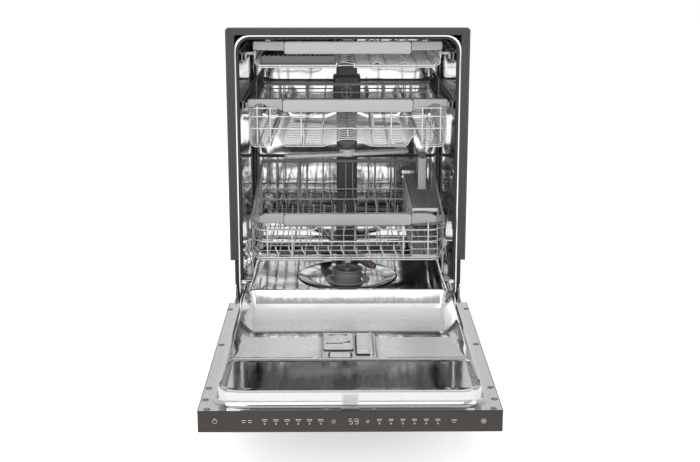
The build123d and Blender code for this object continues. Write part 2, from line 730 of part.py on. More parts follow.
# ---- hinge arms inside the door's side walls ----
arm_x = (292.4, door_half - skin)
arm_half = 10.5
with BuildPart() as hinge_arms:
    slab(arm_x, (-150, hinge_y), (hinge_z - arm_half, hinge_z + arm_half))
    rod((arm_x[0], hinge_y, hinge_z), (1, 0, 0), arm_half, arm_x[1] - arm_x[0])
    rod((arm_x[0] - 1, hinge_y, hinge_z), (1, 0, 0), pin_radius + pin_fit, 8, mode=Mode.SUBTRACT)
    mirror(about=Plane.YZ)
save(hinge_arms, "hinge_arms")

# ---- works inside the base ----
with BuildPart() as wash_pump:
    rod((60, filter_y, 70), (1, 0, 0), 36, 120)
    rod((46, filter_y, 112), (1, 0, 0), 12, 40)
    slab((80, 160), (filter_y - 30, filter_y + 30), (base_low + tray, 50))
save(wash_pump, "wash_pump")

with BuildPart() as hose_ports:
    for x, radius in ((-200, 13), (200, 11)):
        rod((x, base_back - wall - 3, 90), (0, 1, 0), 28, 3)
        rod((x, base_back - wall - 30, 90), (0, 1, 0), radius + 3, wall + 30)
        rod((x, base_back, 90), (0, 1, 0), radius, back_y - base_back)
        rod((x, base_back - wall - 40, 90), (0, 1, 0), radius - 4, 80, mode=Mode.SUBTRACT)
save(hose_ports, "hose_ports")

with BuildPart() as junction_box:
    slab((170, 235), (base_front + wall, base_front + wall + 70), (40, 100))
    slab((173, 232), (base_front + wall + 3, base_front + wall + 67), (43, 97),
         mode=Mode.SUBTRACT)
    rod((202, base_front + wall + 35, 30), (0, 0, 1), 11, 20, mode=Mode.SUBTRACT)
save(junction_box, "junction_box")
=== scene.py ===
"""Built in dishwasher with its door open: finished pieces, surfaces, light and camera.

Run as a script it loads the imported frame, builds every piece through the operators below, and
finishes. Lengths are metres, +Z up, and the door opens towards -Y.
"""
import math

import bmesh
import bpy
from bpy.props import FloatProperty, FloatVectorProperty, IntProperty, PointerProperty
from mathutils import Matrix, Vector


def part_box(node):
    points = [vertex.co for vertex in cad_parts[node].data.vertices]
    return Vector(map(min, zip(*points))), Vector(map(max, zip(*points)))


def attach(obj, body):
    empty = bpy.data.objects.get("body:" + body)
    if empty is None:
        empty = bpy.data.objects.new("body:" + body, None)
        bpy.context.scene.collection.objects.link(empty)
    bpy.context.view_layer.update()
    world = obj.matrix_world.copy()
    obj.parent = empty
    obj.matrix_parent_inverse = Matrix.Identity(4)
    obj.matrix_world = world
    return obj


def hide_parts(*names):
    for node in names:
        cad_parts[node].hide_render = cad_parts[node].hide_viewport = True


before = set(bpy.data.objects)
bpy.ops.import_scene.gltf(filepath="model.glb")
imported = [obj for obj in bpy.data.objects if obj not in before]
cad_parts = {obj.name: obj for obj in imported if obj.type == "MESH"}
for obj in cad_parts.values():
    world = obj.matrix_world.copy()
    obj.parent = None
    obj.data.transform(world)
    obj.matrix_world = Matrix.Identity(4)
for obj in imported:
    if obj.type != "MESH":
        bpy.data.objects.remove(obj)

bl_info = {
    "name": "Built In Dishwasher",
    "version": (1, 0, 0),
    "blender": (4, 5, 0),
    "location": "3D View > Sidebar > Dishwasher",
    "description": "Builds a built in dishwasher with wire racks, spray arms and a drop down door",
    "category": "Add Mesh",
}

MM = 0.001
# shared places in millimetres, as in the frame
TUB_HALF, TUB_FLOOR, TUB_TOP, TUB_BACK = 276, 150, 833, 610
ROOF_BEND, ROOF_FALL = 270, 0.0794
TRIM_FRONT = 81
SPRAY_Y, FILTER_Y = 375, 285
RACK_BACK = 569.0
HANDLE_FRONT, HANDLE_DEPTH = 112, 13.6
STRIP_FRONT = -655
FLANGE_TOP = 168.4
ARM_TURNS = (20, 110, 200, 290)
UPPER_SPRAY_Y = 345
WHEEL_X, WHEEL_Z = 258.5, 214.4
WHEEL_PLACES = (160, 540)
TRIM_WIDTH, TRIM_TOP = 21.5, 854
# points nearer than this are one point
SAME_PLACE = 0.002
# a bend takes at most this share of a wire's straight run
BEND_SHARE = 0.45
# how far a curve's handles reach, on a bend and on a straight run
BEND_HANDLE, RUN_HANDLE = 0.55, 0.33

# camera place in metres, its tilt and turn in degrees
CAMERA_PLACE = (-0.0178, -2.7377, 1.0816)
CAMERA_TILT, CAMERA_TURN = 90 - 12.98, -0.47
# name, place and size in metres, power in watts
LAMPS = (
    ("key", (-2.3, -2.8, 2.7), 2.6, 3.2, 62.0),
    ("fill", (2.7, -2.4, 1.8), 2.0, 3.0, 30.0),
    ("front", (0.0, -5.2, 2.2), 4.0, 2.4, 62.0),
    ("top", (0.0, -0.2, 3.6), 3.4, 3.4, 44.0),
)
LAMP_TARGET = (0.0, 0.1, 0.4)
SKY_LOW, SKY_MIDDLE, SKY_HIGH = (1.0, 1.0, 1.0, 1), (0.98, 0.98, 0.98, 1), (0.26, 0.26, 0.27, 1)
SKY_STRENGTH = 0.92


# ---------------------------------------------------------------- settings


def length(name, description, default, low=0.0001, high=2.0):
    """A length property in metres."""
    return FloatProperty(
        name=name, description=description, default=default, min=low, max=high,
        unit="LENGTH", subtype="DISTANCE", precision=4,
    )


def colour(name, description, default):
    """A linear colour property."""
    return FloatVectorProperty(
        name=name, description=description, default=default, min=0.0, max=1.0,
        size=3, subtype="COLOR",
    )


class DishwasherSizes(bpy.types.PropertyGroup):
    """Sizes of the pieces that the CAD frame leaves open."""

    rack_wire: length("Rack wire", "Diameter of the racks' main wires", 0.0042)
    thin_wire: length("Thin wire", "Diameter of the floor wires and tines", 0.0032)
    tub_bend: length("Tub corner", "Radius between the tub's walls", 0.036)
    back_bend: length("Back corner", "Radius between the tub's walls and back", 0.030)
    sheet: length("Sheet", "Thickness of the tub and liner steel", 0.0008)
    handle_bend: length("Handle edge", "Radius of the rack handles' edges", 0.0022)
    lens: FloatProperty(
        name="Lens", description="Focal length of the camera in millimetres",
        default=58.7, min=10.0, max=200.0, unit="CAMERA",
    )
    tine_count: IntProperty(
        name="Tines", description="Tines in each folding row", default=13, min=2, max=30,
    )


class DishwasherColours(bpy.types.PropertyGroup):
    """Colours of the finishes."""

    steel: colour("Steel", "Polished tub and liner", (0.68, 0.68, 0.685))
    wire: colour("Wire", "Nylon coated rack wire", (0.54, 0.54, 0.536))
    handle: colour("Handle", "Light grey rack handles", (0.275, 0.275, 0.273))
    insert: colour("Handle insert", "Satin metal handle insert", (0.35, 0.35, 0.354))
    trim: colour("Trim", "Dark front trim", (0.045, 0.045, 0.046))
    duct: colour("Duct", "Dark grey moulded parts", (0.088, 0.088, 0.090))
    strip: colour("Control strip", "Warm black control strip", (0.028, 0.0235, 0.0195))
    basket: colour("Basket", "Cutlery basket", (0.47, 0.47, 0.468))
    accent: colour("Accent", "Copper coloured spray arm accents", (0.60, 0.20, 0.05))
    floor: colour("Floor", "Studio floor", (0.93, 0.93, 0.93))


def sizes():
    """The sizes in use."""
    return bpy.context.scene.dishwasher_sizes


def colours():
    """The colours in use."""
    return bpy.context.scene.dishwasher_colours


# ---------------------------------------------------------------- surfaces


def join(tree, source, target):
    """Join an output socket to an input socket."""
    tree.links.new(source, target)


def surface(name, base, metallic=0.0, rough=0.4, rough_spread=0.06, shade_spread=0.08,
            grain=60.0, stretch=(1, 1, 1), bump=0.0002, bump_scale=None, coat=0.0, specular=0.5):
    """A shader whose shade, roughness and relief vary with the object's own coordinates."""
    made = bpy.data.materials.get("finish_" + name)
    if made:
        return made
    made = bpy.data.materials.new("finish_" + name)
    made.use_nodes = True
    tree = made.node_tree
    shader = tree.nodes["Principled BSDF"]
    shader.inputs["Metallic"].default_value = metallic
    shader.inputs["Coat Weight"].default_value = coat
    shader.inputs["Specular IOR Level"].default_value = specular
    place = tree.nodes.new("ShaderNodeTexCoord")
    turn = tree.nodes.new("ShaderNodeMapping")
    turn.inputs["Scale"].default_value = stretch
    join(tree, place.outputs["Object"], turn.inputs["Vector"])
    noise = tree.nodes.new("ShaderNodeTexNoise")
    noise.inputs["Scale"].default_value = grain
    noise.inputs["Detail"].default_value = 5.0
    join(tree, turn.outputs["Vector"], noise.inputs["Vector"])
    shade = tree.nodes.new("ShaderNodeValToRGB")
    shade.color_ramp.elements[0].position = 0.3
    shade.color_ramp.elements[1].position = 0.7
    shade.color_ramp.elements[0].color = (*[c * (1 - shade_spread) for c in base], 1)
    shade.color_ramp.elements[1].color = (*[min(1, c * (1 + shade_spread)) for c in base], 1)
    join(tree, noise.outputs["Fac"], shade.inputs["Fac"])
    join(tree, shade.outputs["Color"], shader.inputs["Base Color"])
    gloss = tree.nodes.new("ShaderNodeMapRange")
    gloss.inputs["From Min"].default_value = 0.3
    gloss.inputs["From Max"].default_value = 0.7
    gloss.inputs["To Min"].default_value = max(0.02, rough - rough_spread)
    gloss.inputs["To Max"].default_value = rough + rough_spread
    join(tree, noise.outputs["Fac"], gloss.inputs["Value"])
    join(tree, gloss.outputs["Result"], shader.inputs["Roughness"])
    relief_noise = noise
    if bump_scale:
        relief_noise = tree.nodes.new("ShaderNodeTexNoise")
        relief_noise.inputs["Scale"].default_value = bump_scale
        relief_noise.inputs["Detail"].default_value = 2.0
        join(tree, turn.outputs["Vector"], relief_noise.inputs["Vector"])
    relief = tree.nodes.new("ShaderNodeBump")
    relief.inputs["Strength"].default_value = 1.0
    relief.inputs["Distance"].default_value = bump
    join(tree, relief_noise.outputs["Fac"], relief.inputs["Height"])
    join(tree, relief.outputs["Normal"], shader.inputs["Normal"])
    return made


FINISHES = {
    # pressed steel of the tub and liner: near mirror, with faint waves
    "polished_steel": dict(base="steel", metallic=1.0, rough=0.055, rough_spread=0.02,
        shade_spread=0.03, grain=35.0, bump=0.0011, bump_scale=6.0),
    # pressed steel of the door liner, a little softer than the tub
    "liner_steel": dict(base=(0.53, 0.53, 0.535), metallic=1.0, rough=0.09, rough_spread=0.03,
        shade_spread=0.04, grain=45.0, stretch=(3, 0.6, 3), bump=0.0003, bump_scale=5.0),
    # darker pressed steel of the dish round the sump
    "dish_steel": dict(base=(0.30, 0.30, 0.305), metallic=1.0, rough=0.09, rough_spread=0.03,
        shade_spread=0.05, grain=30.0, bump=0.0012, bump_scale=9.0),
    # brushed band of the door liner between the ridge and the step
    "satin_steel": dict(base=(0.70, 0.70, 0.705), metallic=0.4, rough=0.28, rough_spread=0.01,
        shade_spread=0.02, grain=30.0, bump=0.00001),
    # dull plated steel of rails, brackets and screws
    "zinc_plate": dict(base=(0.24, 0.24, 0.245), metallic=1.0, rough=0.33, rough_spread=0.08,
        shade_spread=0.12, grain=45.0, bump=0.00004),
    # dark anodised extrusion round the opening
    "dark_trim": dict(base="trim", metallic=0.0, rough=0.45, rough_spread=0.05, specular=0.3,
        shade_spread=0.10, grain=120.0, stretch=(1, 1, 0.1), bump=0.00003),
    # black door seal
    "gasket_rubber": dict(base=(0.012, 0.012, 0.012), rough=0.55, shade_spread=0.3, grain=150.0,
        bump=0.00008),
    # satin silver coat of the rack wires
    "coated_wire": dict(base="wire", metallic=0.35, rough=0.25, rough_spread=0.05,
        shade_spread=0.03, grain=260.0, bump=0.00003),
    # satin light grey plastic of the rack handles and rims
    "handle_plastic": dict(base="handle", rough=0.36, rough_spread=0.04, shade_spread=0.02,
        grain=420.0, bump=0.00002, coat=0.1),
    # brushed metal insert of the handles
    "insert_metal": dict(base="insert", metallic=0.7, rough=0.36, rough_spread=0.04,
        shade_spread=0.025, grain=160.0, stretch=(0.2, 4, 4), bump=0.000004),
    # dark grey glass filled plastic
    "duct_plastic": dict(base="duct", rough=0.38, rough_spread=0.06, shade_spread=0.08,
        grain=300.0, bump=0.00003),
    # mid grey plastic of the cutlery basket and dispenser
    "basket_plastic": dict(base="basket", rough=0.34, rough_spread=0.05, shade_spread=0.03,
        grain=380.0, bump=0.00003),
    # grey plastic of the filter, sump ring and docking port
    "sump_plastic": dict(base=(0.20, 0.20, 0.20), rough=0.34, rough_spread=0.05, shade_spread=0.04,
        grain=380.0, bump=0.00003),
    # pale grey plastic of wheels, filter and lids
    "pale_plastic": dict(base=(0.52, 0.52, 0.52), rough=0.32, rough_spread=0.05, shade_spread=0.03,
        grain=380.0, bump=0.00003),
    # black moulded base and pump
    "black_plastic": dict(base=(0.018, 0.018, 0.018), rough=0.5, shade_spread=0.15, grain=260.0,
        bump=0.00006),
    # dark felted sound blanket
    "blanket_felt": dict(base=(0.035, 0.035, 0.037), rough=0.92, rough_spread=0.05,
        shade_spread=0.35, grain=420.0, bump=0.0008, bump_scale=700.0, specular=0.2),
    # copper coloured accents of the spray arms
    "copper_accent": dict(base="accent", metallic=0.6, rough=0.3, shade_spread=0.06, grain=200.0,
        bump=0.00002),
    # warm black satin face of the control strip, brushed along its length
    "strip_finish": dict(base="strip", metallic=0.0, rough=0.46, rough_spread=0.04, specular=0.3,
        shade_spread=0.05, grain=160.0, stretch=(0.15, 4, 4), bump=0.00001),
    # dark brushed steel of the door's outer panel
    "door_finish": dict(base=(0.085, 0.075, 0.067), metallic=0.85, rough=0.30, rough_spread=0.05,
        shade_spread=0.08, grain=150.0, stretch=(0.15, 5, 5), bump=0.00002),
    # thin black edge of the door, and the same black laid as painted shade in holes, gaps and slots
    "edge_black": dict(base=(0.01, 0.01, 0.01), rough=0.4, shade_spread=0.1, grain=200.0,
        bump=0.00002),
    # pale printed icons of the control strip
    "legend_ink": dict(base=(0.50, 0.47, 0.43), rough=0.5, shade_spread=0.03, grain=500.0,
        bump=0.00001),
}


def finish(name):
    """A finish from the table, in the colours in use."""
    settings = dict(FINISHES[name])
    base = settings.pop("base")
    if isinstance(base, str):
        base = getattr(colours(), base)
    return surface(name, base, **settings)


def studio_paper():
    """Pale paper floor, lit from beneath."""
    made = surface("studio_paper", colours().floor, rough=0.9, rough_spread=0.04,
                   shade_spread=0.005, grain=3.0, bump=0.0001, specular=0.1)
    shader = made.node_tree.nodes["Principled BSDF"]
    shader.inputs["Emission Color"].default_value = (1.0, 1.0, 1.0, 1.0)
    shader.inputs["Emission Strength"].default_value = 0.5
    return made


# ---------------------------------------------------------------- shaping
# Shapes are drawn in millimetres and scaled as they become objects.


def keep(name, form, body, look, stands_for=(), smooth=38.0):
    """Turn a bmesh into an object with a look from the table, riding on a body."""
    bmesh.ops.remove_doubles(form, verts=form.verts, dist=SAME_PLACE)
    bmesh.ops.scale(form, vec=(MM, MM, MM), verts=form.verts)
    mesh = bpy.data.meshes.new(name)
    form.to_mesh(mesh)
    form.free()
    mesh.materials.append(finish(look))
    piece = bpy.data.objects.new(name, mesh)
    bpy.context.scene.collection.objects.link(piece)
    mesh.shade_smooth()
    mesh.set_sharp_from_angle(angle=math.radians(smooth))
    settle(piece, body, stands_for)
    return piece


def settle(piece, body, stands_for):
    """Say what a piece rides on and what it stands for."""
    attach(piece, body)
    if stands_for:
        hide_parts(*stands_for)


def block(form, low, high, bend=0.0, segments=2):
    """A box with every edge rounded."""
    low, high = Vector(low), Vector(high)
    made = bmesh.ops.create_cube(form, size=1.0)["verts"]
    bmesh.ops.scale(form, vec=high - low, verts=made)
    bmesh.ops.translate(form, vec=(high + low) / 2, verts=made)
    if bend:
        edges = list({edge for vert in made for edge in vert.link_edges})
        bmesh.ops.bevel(form, geom=edges, offset=bend, offset_type="OFFSET", affect="EDGES",
                        segments=segments, profile=0.5, material=-1)


def twin_blocks(form, low, high, bend=0.0, segments=2):
    """A rounded box and its mirror image in x."""
    for side in (-1, 1):
        near, far = sorted((side * low[0], side * high[0]))
        block(form, (near, *low[1:]), (far, *high[1:]), bend, segments)


def drum(form, start, along, radius, depth, sides=24, bend=0.0, far_radius=None):
    """A round bar from a start point along a direction."""
    along = Vector(along).normalized()
    turn = along.to_track_quat("Z", "Y").to_matrix().to_4x4()
    place = Matrix.Translation(Vector(start) + along * depth / 2) @ turn
    made = bmesh.ops.create_cone(form, cap_ends=True, segments=sides, radius1=radius,
                                 radius2=far_radius or radius, depth=depth, matrix=place)["verts"]
    if bend:
        rims = {edge for vert in made for edge in vert.link_edges
                if any(len(face.verts) > 4 for face in edge.link_faces)}
        bmesh.ops.bevel(form, geom=list(rims), offset=bend, offset_type="OFFSET",
                        affect="EDGES", segments=2, profile=0.5, material=-1)


def round_outline(low, high, bend, steps=6):
    """Points round a rectangle with round corners, anticlockwise from the right."""
    points = []
    for sign_x, sign_y, start in ((1, 1, 0), (-1, 1, 90), (-1, -1, 180), (1, -1, 270)):
        centre = ((high[0] if sign_x > 0 else low[0]) - sign_x * bend,
                  (high[1] if sign_y > 0 else low[1]) - sign_y * bend)
        for step in range(steps + 1):
            angle = math.radians(start + 90 * step / steps)
            points.append((centre[0] + bend * math.cos(angle), centre[1] + bend * math.sin(angle)))
    return points


def both_halves(half):
    """An outline from its half at positive x, read from one end of the middle to the other."""
    return half + [(-x, y) for x, y in reversed(half) if x]


def ring(form, points):
    """A closed loop of edges through points."""
    verts = [form.verts.new(point) for point in points]
    return [form.edges.new((a, b)) for a, b in zip(verts, verts[1:] + verts[:1])]


def lifted(pair, axis, place):
    """A flat point put at a place along an axis."""
    point = list(pair)
    point.insert(axis, place)
    return point


def skin(form, loops):
    """Bridge each loop of edges to the next one."""
    for one, other in zip(loops, loops[1:]):
        bmesh.ops.bridge_loops(form, edges=one + other)


def cap(form, loop):
    """Close a loop with one flat face."""
    form.faces.new([next(vert for vert in edge.verts if vert in after.verts)
                    for edge, after in zip(loop, loop[1:] + loop[:1])])


def plate(form, outline, axis, start, depth, bend=0.0, segments=2):
    """A flat outline pushed along an axis, with its outer edges rounded."""
    face = form.faces.new([form.verts.new(lifted(pair, axis, start)) for pair in outline])
    pushed = bmesh.ops.extrude_face_region(form, geom=[face])["geom"]
    verts = [item for item in pushed if isinstance(item, bmesh.types.BMVert)]
    move = [0.0, 0.0, 0.0]
    move[axis] = depth
    bmesh.ops.translate(form, vec=move, verts=verts)
    whole = set(verts) | set(face.verts)
    faces = list({f for vert in whole for f in vert.link_faces})
    bmesh.ops.recalc_face_normals(form, faces=faces)
    if bend:
        flat = {face, *[f for f in faces if len(f.verts) == len(outline)]}
        edges = list({edge for f in flat for edge in f.edges})
        bmesh.ops.bevel(form, geom=edges, offset=bend, offset_type="OFFSET", affect="EDGES",
                        segments=segments, profile=0.5, material=-1, clamp_overlap=True)


def shell(form, axis, profile, low, high, bend, steps=4, hollow=False, squeeze=1.0):
    """Round rectangles joined along an axis, each shrunk by an amount at a place in the profile.

    The bend is the corner radius for a given shrink. A hollow shell joins its last ring to its
    first, and any other is capped at both ends.
    """
    loops = []
    for shrink, place in profile:
        other = shrink * squeeze
        outline = round_outline((low[0] + shrink, low[1] + other),
                                (high[0] - shrink, high[1] - other), bend(shrink), steps)
        loops.append(ring(form, [lifted(pair, axis, place) for pair in outline]))
    skin(form, loops + loops[:1] if hollow else loops)
    if not hollow:
        cap(form, loops[-1])
        cap(form, loops[0])
    bmesh.ops.recalc_face_normals(form, faces=form.faces)


def swing(form, degrees, axis, move=(0, 0, 0)):
    """Turn a whole form about the origin, then move it."""
    bmesh.ops.rotate(form, cent=(0, 0, 0), matrix=Matrix.Rotation(math.radians(degrees), 3, axis),
                     verts=form.verts)
    bmesh.ops.translate(form, vec=move, verts=form.verts)


def merge(form, part):
    """Move everything in one form into another."""
    spare = bpy.data.meshes.new("part")
    part.to_mesh(spare)
    part.free()
    form.from_mesh(spare)
    bpy.data.meshes.remove(spare)


def turned(form, outline, centre, sides=48):
    """Spin an outline of (radius, height) about an upright axis through a centre."""
    verts = [form.verts.new((centre[0] + r, centre[1], centre[2] + z)) for r, z in outline]
    edges = [form.edges.new((a, b)) for a, b in zip(verts, verts[1:])]
    bmesh.ops.spin(form, geom=verts + edges, cent=centre, axis=(0, 0, 1), dvec=(0, 0, 0),
                   angle=2 * math.pi, steps=sides, use_merge=True, use_duplicate=False)
    bmesh.ops.remove_doubles(form, verts=form.verts, dist=SAME_PLACE)
    bmesh.ops.recalc_face_normals(form, faces=form.faces)


def thicken(piece, depth, offset=-1.0):
    """Give a sheet its thickness in millimetres."""
    solid = piece.modifiers.new("thickness", "SOLIDIFY")
    solid.thickness = depth * MM
    solid.offset = offset
    return piece


def soften(piece, width, segments=2, angle=40.0):
    """Round the sharp edges of a piece."""
    round_off = piece.modifiers.new("edges", "BEVEL")
    round_off.width = width * MM
    round_off.segments = segments
    round_off.limit_method = "ANGLE"
    round_off.angle_limit = math.radians(angle)
    return piece


def wires(name, paths, diameter, body, stands_for, bend):
    """Round wires through corner points in millimetres, every corner bent to a radius."""
    data = bpy.data.curves.new(name, "CURVE")
    data.dimensions = "3D"
    data.bevel_depth = diameter / 2 * MM
    data.bevel_resolution = 1
    data.resolution_u = 3
    data.use_fill_caps = True
    for path in paths:
        add_wire(data, [Vector(point) * MM for point in path], bend * MM)
    piece = bpy.data.objects.new(name, data)
    bpy.context.scene.collection.objects.link(piece)
    data.materials.append(finish("coated_wire"))
    settle(piece, body, stands_for)


def add_wire(data, points, bend):
    """One wire: straight runs joined by round bends. A path that ends where it starts is closed."""
    closed = (points[0] - points[-1]).length < 1e-6
    if closed:
        points = [points[-2], *points, points[1]]
    knots = [] if closed else [(points[0], None, None)]
    for before, here, after in zip(points, points[1:], points[2:]):
        into, out = here - before, after - here
        reach = min(bend, into.length * BEND_SHARE, out.length * BEND_SHARE)
        start = here - into.normalized() * reach
        end = here + out.normalized() * reach
        knots.append((start, None, start.lerp(here, BEND_HANDLE)))
        knots.append((end, end.lerp(here, BEND_HANDLE), None))
    if closed:
        knots = knots[:-2]
    else:
        knots.append((points[-1], None, None))
    spline = data.splines.new("BEZIER")
    spline.bezier_points.add(len(knots) - 1)
    spline.use_cyclic_u = closed
    count = len(knots)
    for index, (knot, (place, left, right)) in enumerate(zip(spline.bezier_points, knots)):
        before, after = knots[index - 1][0], knots[(index + 1) % count][0]
        knot.handle_left_type = knot.handle_right_type = "FREE"
        knot.co = place
        knot.handle_left = left or place.lerp(before, RUN_HANDLE)
        knot.handle_right = right or place.lerp(after, RUN_HANDLE)


def mirrored(paths):
    """Paths and their mirror images in x."""
    return paths + [[(-x, y, z) for x, y, z in path] for path in paths]


def level_loop(half, front, back, z, corner=0.0):
    """A closed wire path round a rectangle, its front corners cut if asked."""
    path = [(-half + corner, front, z), (half - corner, front, z)]
    if corner:
        path.append((half, front + corner, z))
    path += [(half, back, z), (-half, back, z)]
    if corner:
        path.append((-half, front + corner, z))
    return path + path[:1]


def lattice(form, low, high, axis, holes, web):
    """A flat panel full of square holes, thin along one axis."""
    across = [n for n in range(3) if n != axis]
    verts = bmesh.ops.create_grid(form, x_segments=holes[0], y_segments=holes[1], size=0.5)["verts"]
    for vert in verts:
        place = list(low)
        for n, part in zip(across, (vert.co.x + 0.5, vert.co.y + 0.5)):
            place[n] = low[n] + (high[n] - low[n]) * part
        vert.co = place
    faces = list({face for vert in verts for face in vert.link_faces})
    bmesh.ops.inset_individual(form, faces=faces, thickness=web / 2, use_even_offset=True)
    bmesh.ops.delete(form, geom=faces, context="FACES")


def line_through(value, table):
    """Height on a line through (place, height) pairs."""
    for (x0, y0), (x1, y1) in zip(table, table[1:]):
        if value <= x1:
            return y0 + (y1 - y0) * max(0.0, value - x0) / (x1 - x0)
    return table[-1][1]


def dress(node, look, edge):
    """Give a CAD node its look, and round its edges."""
    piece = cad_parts[node]
    mesh = piece.data
    if not mesh.materials:
        mesh.materials.append(finish(look))
    for index in range(len(mesh.materials)):
        mesh.materials[index] = finish(look)
    weld = piece.modifiers.new("joined", "WELD")
    weld.merge_threshold = 0.00001
    soften(piece, edge)


# ---------------------------------------------------------------- stage


class DISHWASHER_OT_stage(bpy.types.Operator):
    """Put up the camera, the lights, the pale floor and the world"""

    bl_idname = "dishwasher.stage"
    bl_label = "Stage"

    def execute(self, context):
        scene = context.scene
        data = bpy.data.cameras.new("camera")
        data.lens = sizes().lens
        data.sensor_width = 36.0
        data.shift_y = -0.05
        data.clip_end = 200.0
        camera = bpy.data.objects.new("camera", data)
        scene.collection.objects.link(camera)
        camera.location = CAMERA_PLACE
        camera.rotation_euler = (math.radians(CAMERA_TILT), 0.0, math.radians(CAMERA_TURN))
        scene.camera = camera

        form = bmesh.new()
        bmesh.ops.create_grid(form, x_segments=1, y_segments=1, size=30.0)
        mesh = bpy.data.meshes.new("studio_floor")
        form.to_mesh(mesh)
        form.free()
        mesh.materials.append(studio_paper())
        floor = bpy.data.objects.new("studio_floor", mesh)
        scene.collection.objects.link(floor)

        world = bpy.data.worlds.new("studio")
        world.use_nodes = True
        scene.world = world
        sky = world.node_tree.nodes["Background"]
        place = world.node_tree.nodes.new("ShaderNodeTexCoord")
        parts = world.node_tree.nodes.new("ShaderNodeSeparateXYZ")
        ramp = world.node_tree.nodes.new("ShaderNodeValToRGB")
        ramp.color_ramp.elements[0].position = 0.0
        ramp.color_ramp.elements[0].color = SKY_LOW
        ramp.color_ramp.elements[1].position = 0.9
        ramp.color_ramp.elements[1].color = SKY_HIGH
        ramp.color_ramp.elements.new(0.42).color = SKY_MIDDLE
        join(world.node_tree, place.outputs["Generated"], parts.inputs["Vector"])
        join(world.node_tree, parts.outputs["Z"], ramp.inputs["Fac"])
        join(world.node_tree, ramp.outputs["Color"], sky.inputs["Color"])
        sky.inputs["Strength"].default_value = SKY_STRENGTH

        for name, place, width, height, power in LAMPS:
            lamp = bpy.data.lights.new(name, "AREA")
            lamp.shape = "RECTANGLE"
            lamp.size, lamp.size_y = width, height
            lamp.energy = power
            light = bpy.data.objects.new(name, lamp)
            scene.collection.objects.link(light)
            light.location = place
            aim = (Vector(LAMP_TARGET) - Vector(place)).to_track_quat("-Z", "Y")
            light.rotation_euler = aim.to_euler()
        scene.view_settings.view_transform = "Standard"
        return {"FINISHED"}


# ---------------------------------------------------------------- cabinet


def tub_ring(form, inset, y, bend):
    """A loop round the tub's cross section, its foot set back behind the door's swing."""
    ceiling = TUB_TOP - ROOF_FALL * max(0.0, y - ROOF_BEND)
    points = round_outline((-TUB_HALF + inset, TUB_FLOOR + inset),
                           (TUB_HALF - inset, ceiling - inset), bend, 7)
    return ring(form, [(x, max(y, 100) if z < 172 else y, z) for x, z in points])


class DISHWASHER_OT_tub(bpy.types.Operator):
    """Build the drawn steel tub with its round corners, ledges and dished floor"""

    bl_idname = "dishwasher.tub"
    bl_label = "Tub"

    def execute(self, context):
        corner = sizes().tub_bend / MM
        back = sizes().back_bend / MM
        form = bmesh.new()
        stages = [(-3.8, 83, corner), (-3.8, 81.6, corner), (-3.2, 81, corner), (-0.8, 81, corner),
                  (-0.2, 81.5, corner), (0, 82.6, corner), (0, 130, corner), (0, 270, corner),
                  (0, TUB_BACK - back, corner)]
        for step in range(1, 8):
            angle = math.radians(90 * step / 7)
            inset = back * (1 - math.cos(angle))
            stages.append((inset, TUB_BACK - back + back * math.sin(angle),
                           max(10, corner - inset)))
        stages.append((back + 12, TUB_BACK, 10))
        loops = [tub_ring(form, *stage) for stage in stages]
        skin(form, loops)
        cap(form, loops[-1])
        bmesh.ops.recalc_face_normals(form, faces=form.faces)
        bmesh.ops.reverse_faces(form, faces=form.faces)
        tub = keep("tub", form, "cabinet", "polished_steel", ["tub_shell"], 50)
        tub.data.materials.append(finish("dish_steel"))
        for face in tub.data.polygons:
            face.material_index = int(face.center.z < 0.1535)
        thicken(tub, sizes().sheet / MM)

        form = bmesh.new()
        for side in (-1, 1):
            outline = [(side * 276.2, 188), (side * 256, 192), (side * 251, 195),
                       (side * 250, 198), (side * 251.5, 200), (side * 274, 200.2),
                       (side * 276.2, 202)]
            plate(form, outline if side < 0 else outline[::-1], 1, 112, 488, 0.6)
        keep("tub_ledges", form, "cabinet", "polished_steel")

        form = bmesh.new()
        rings = []
        for radius, y, z in ((139, 320, 150.2), (138, 320, 152.4), (135.5, 320, 153.6),
                             (132.5, 320, 153.0), (129, 318, 151.4), (96, 302, 150.9),
                             (63, 287, 150.5)):
            rings.append(ring(form, [(radius * math.cos(math.tau * n / 48),
                                      y + radius * math.sin(math.tau * n / 48), z)
                                     for n in range(48)]))
        skin(form, rings)
        bmesh.ops.recalc_face_normals(form, faces=form.faces)
        keep("tub_dish", form, "cabinet", "dish_steel", smooth=60)
        return {"FINISHED"}


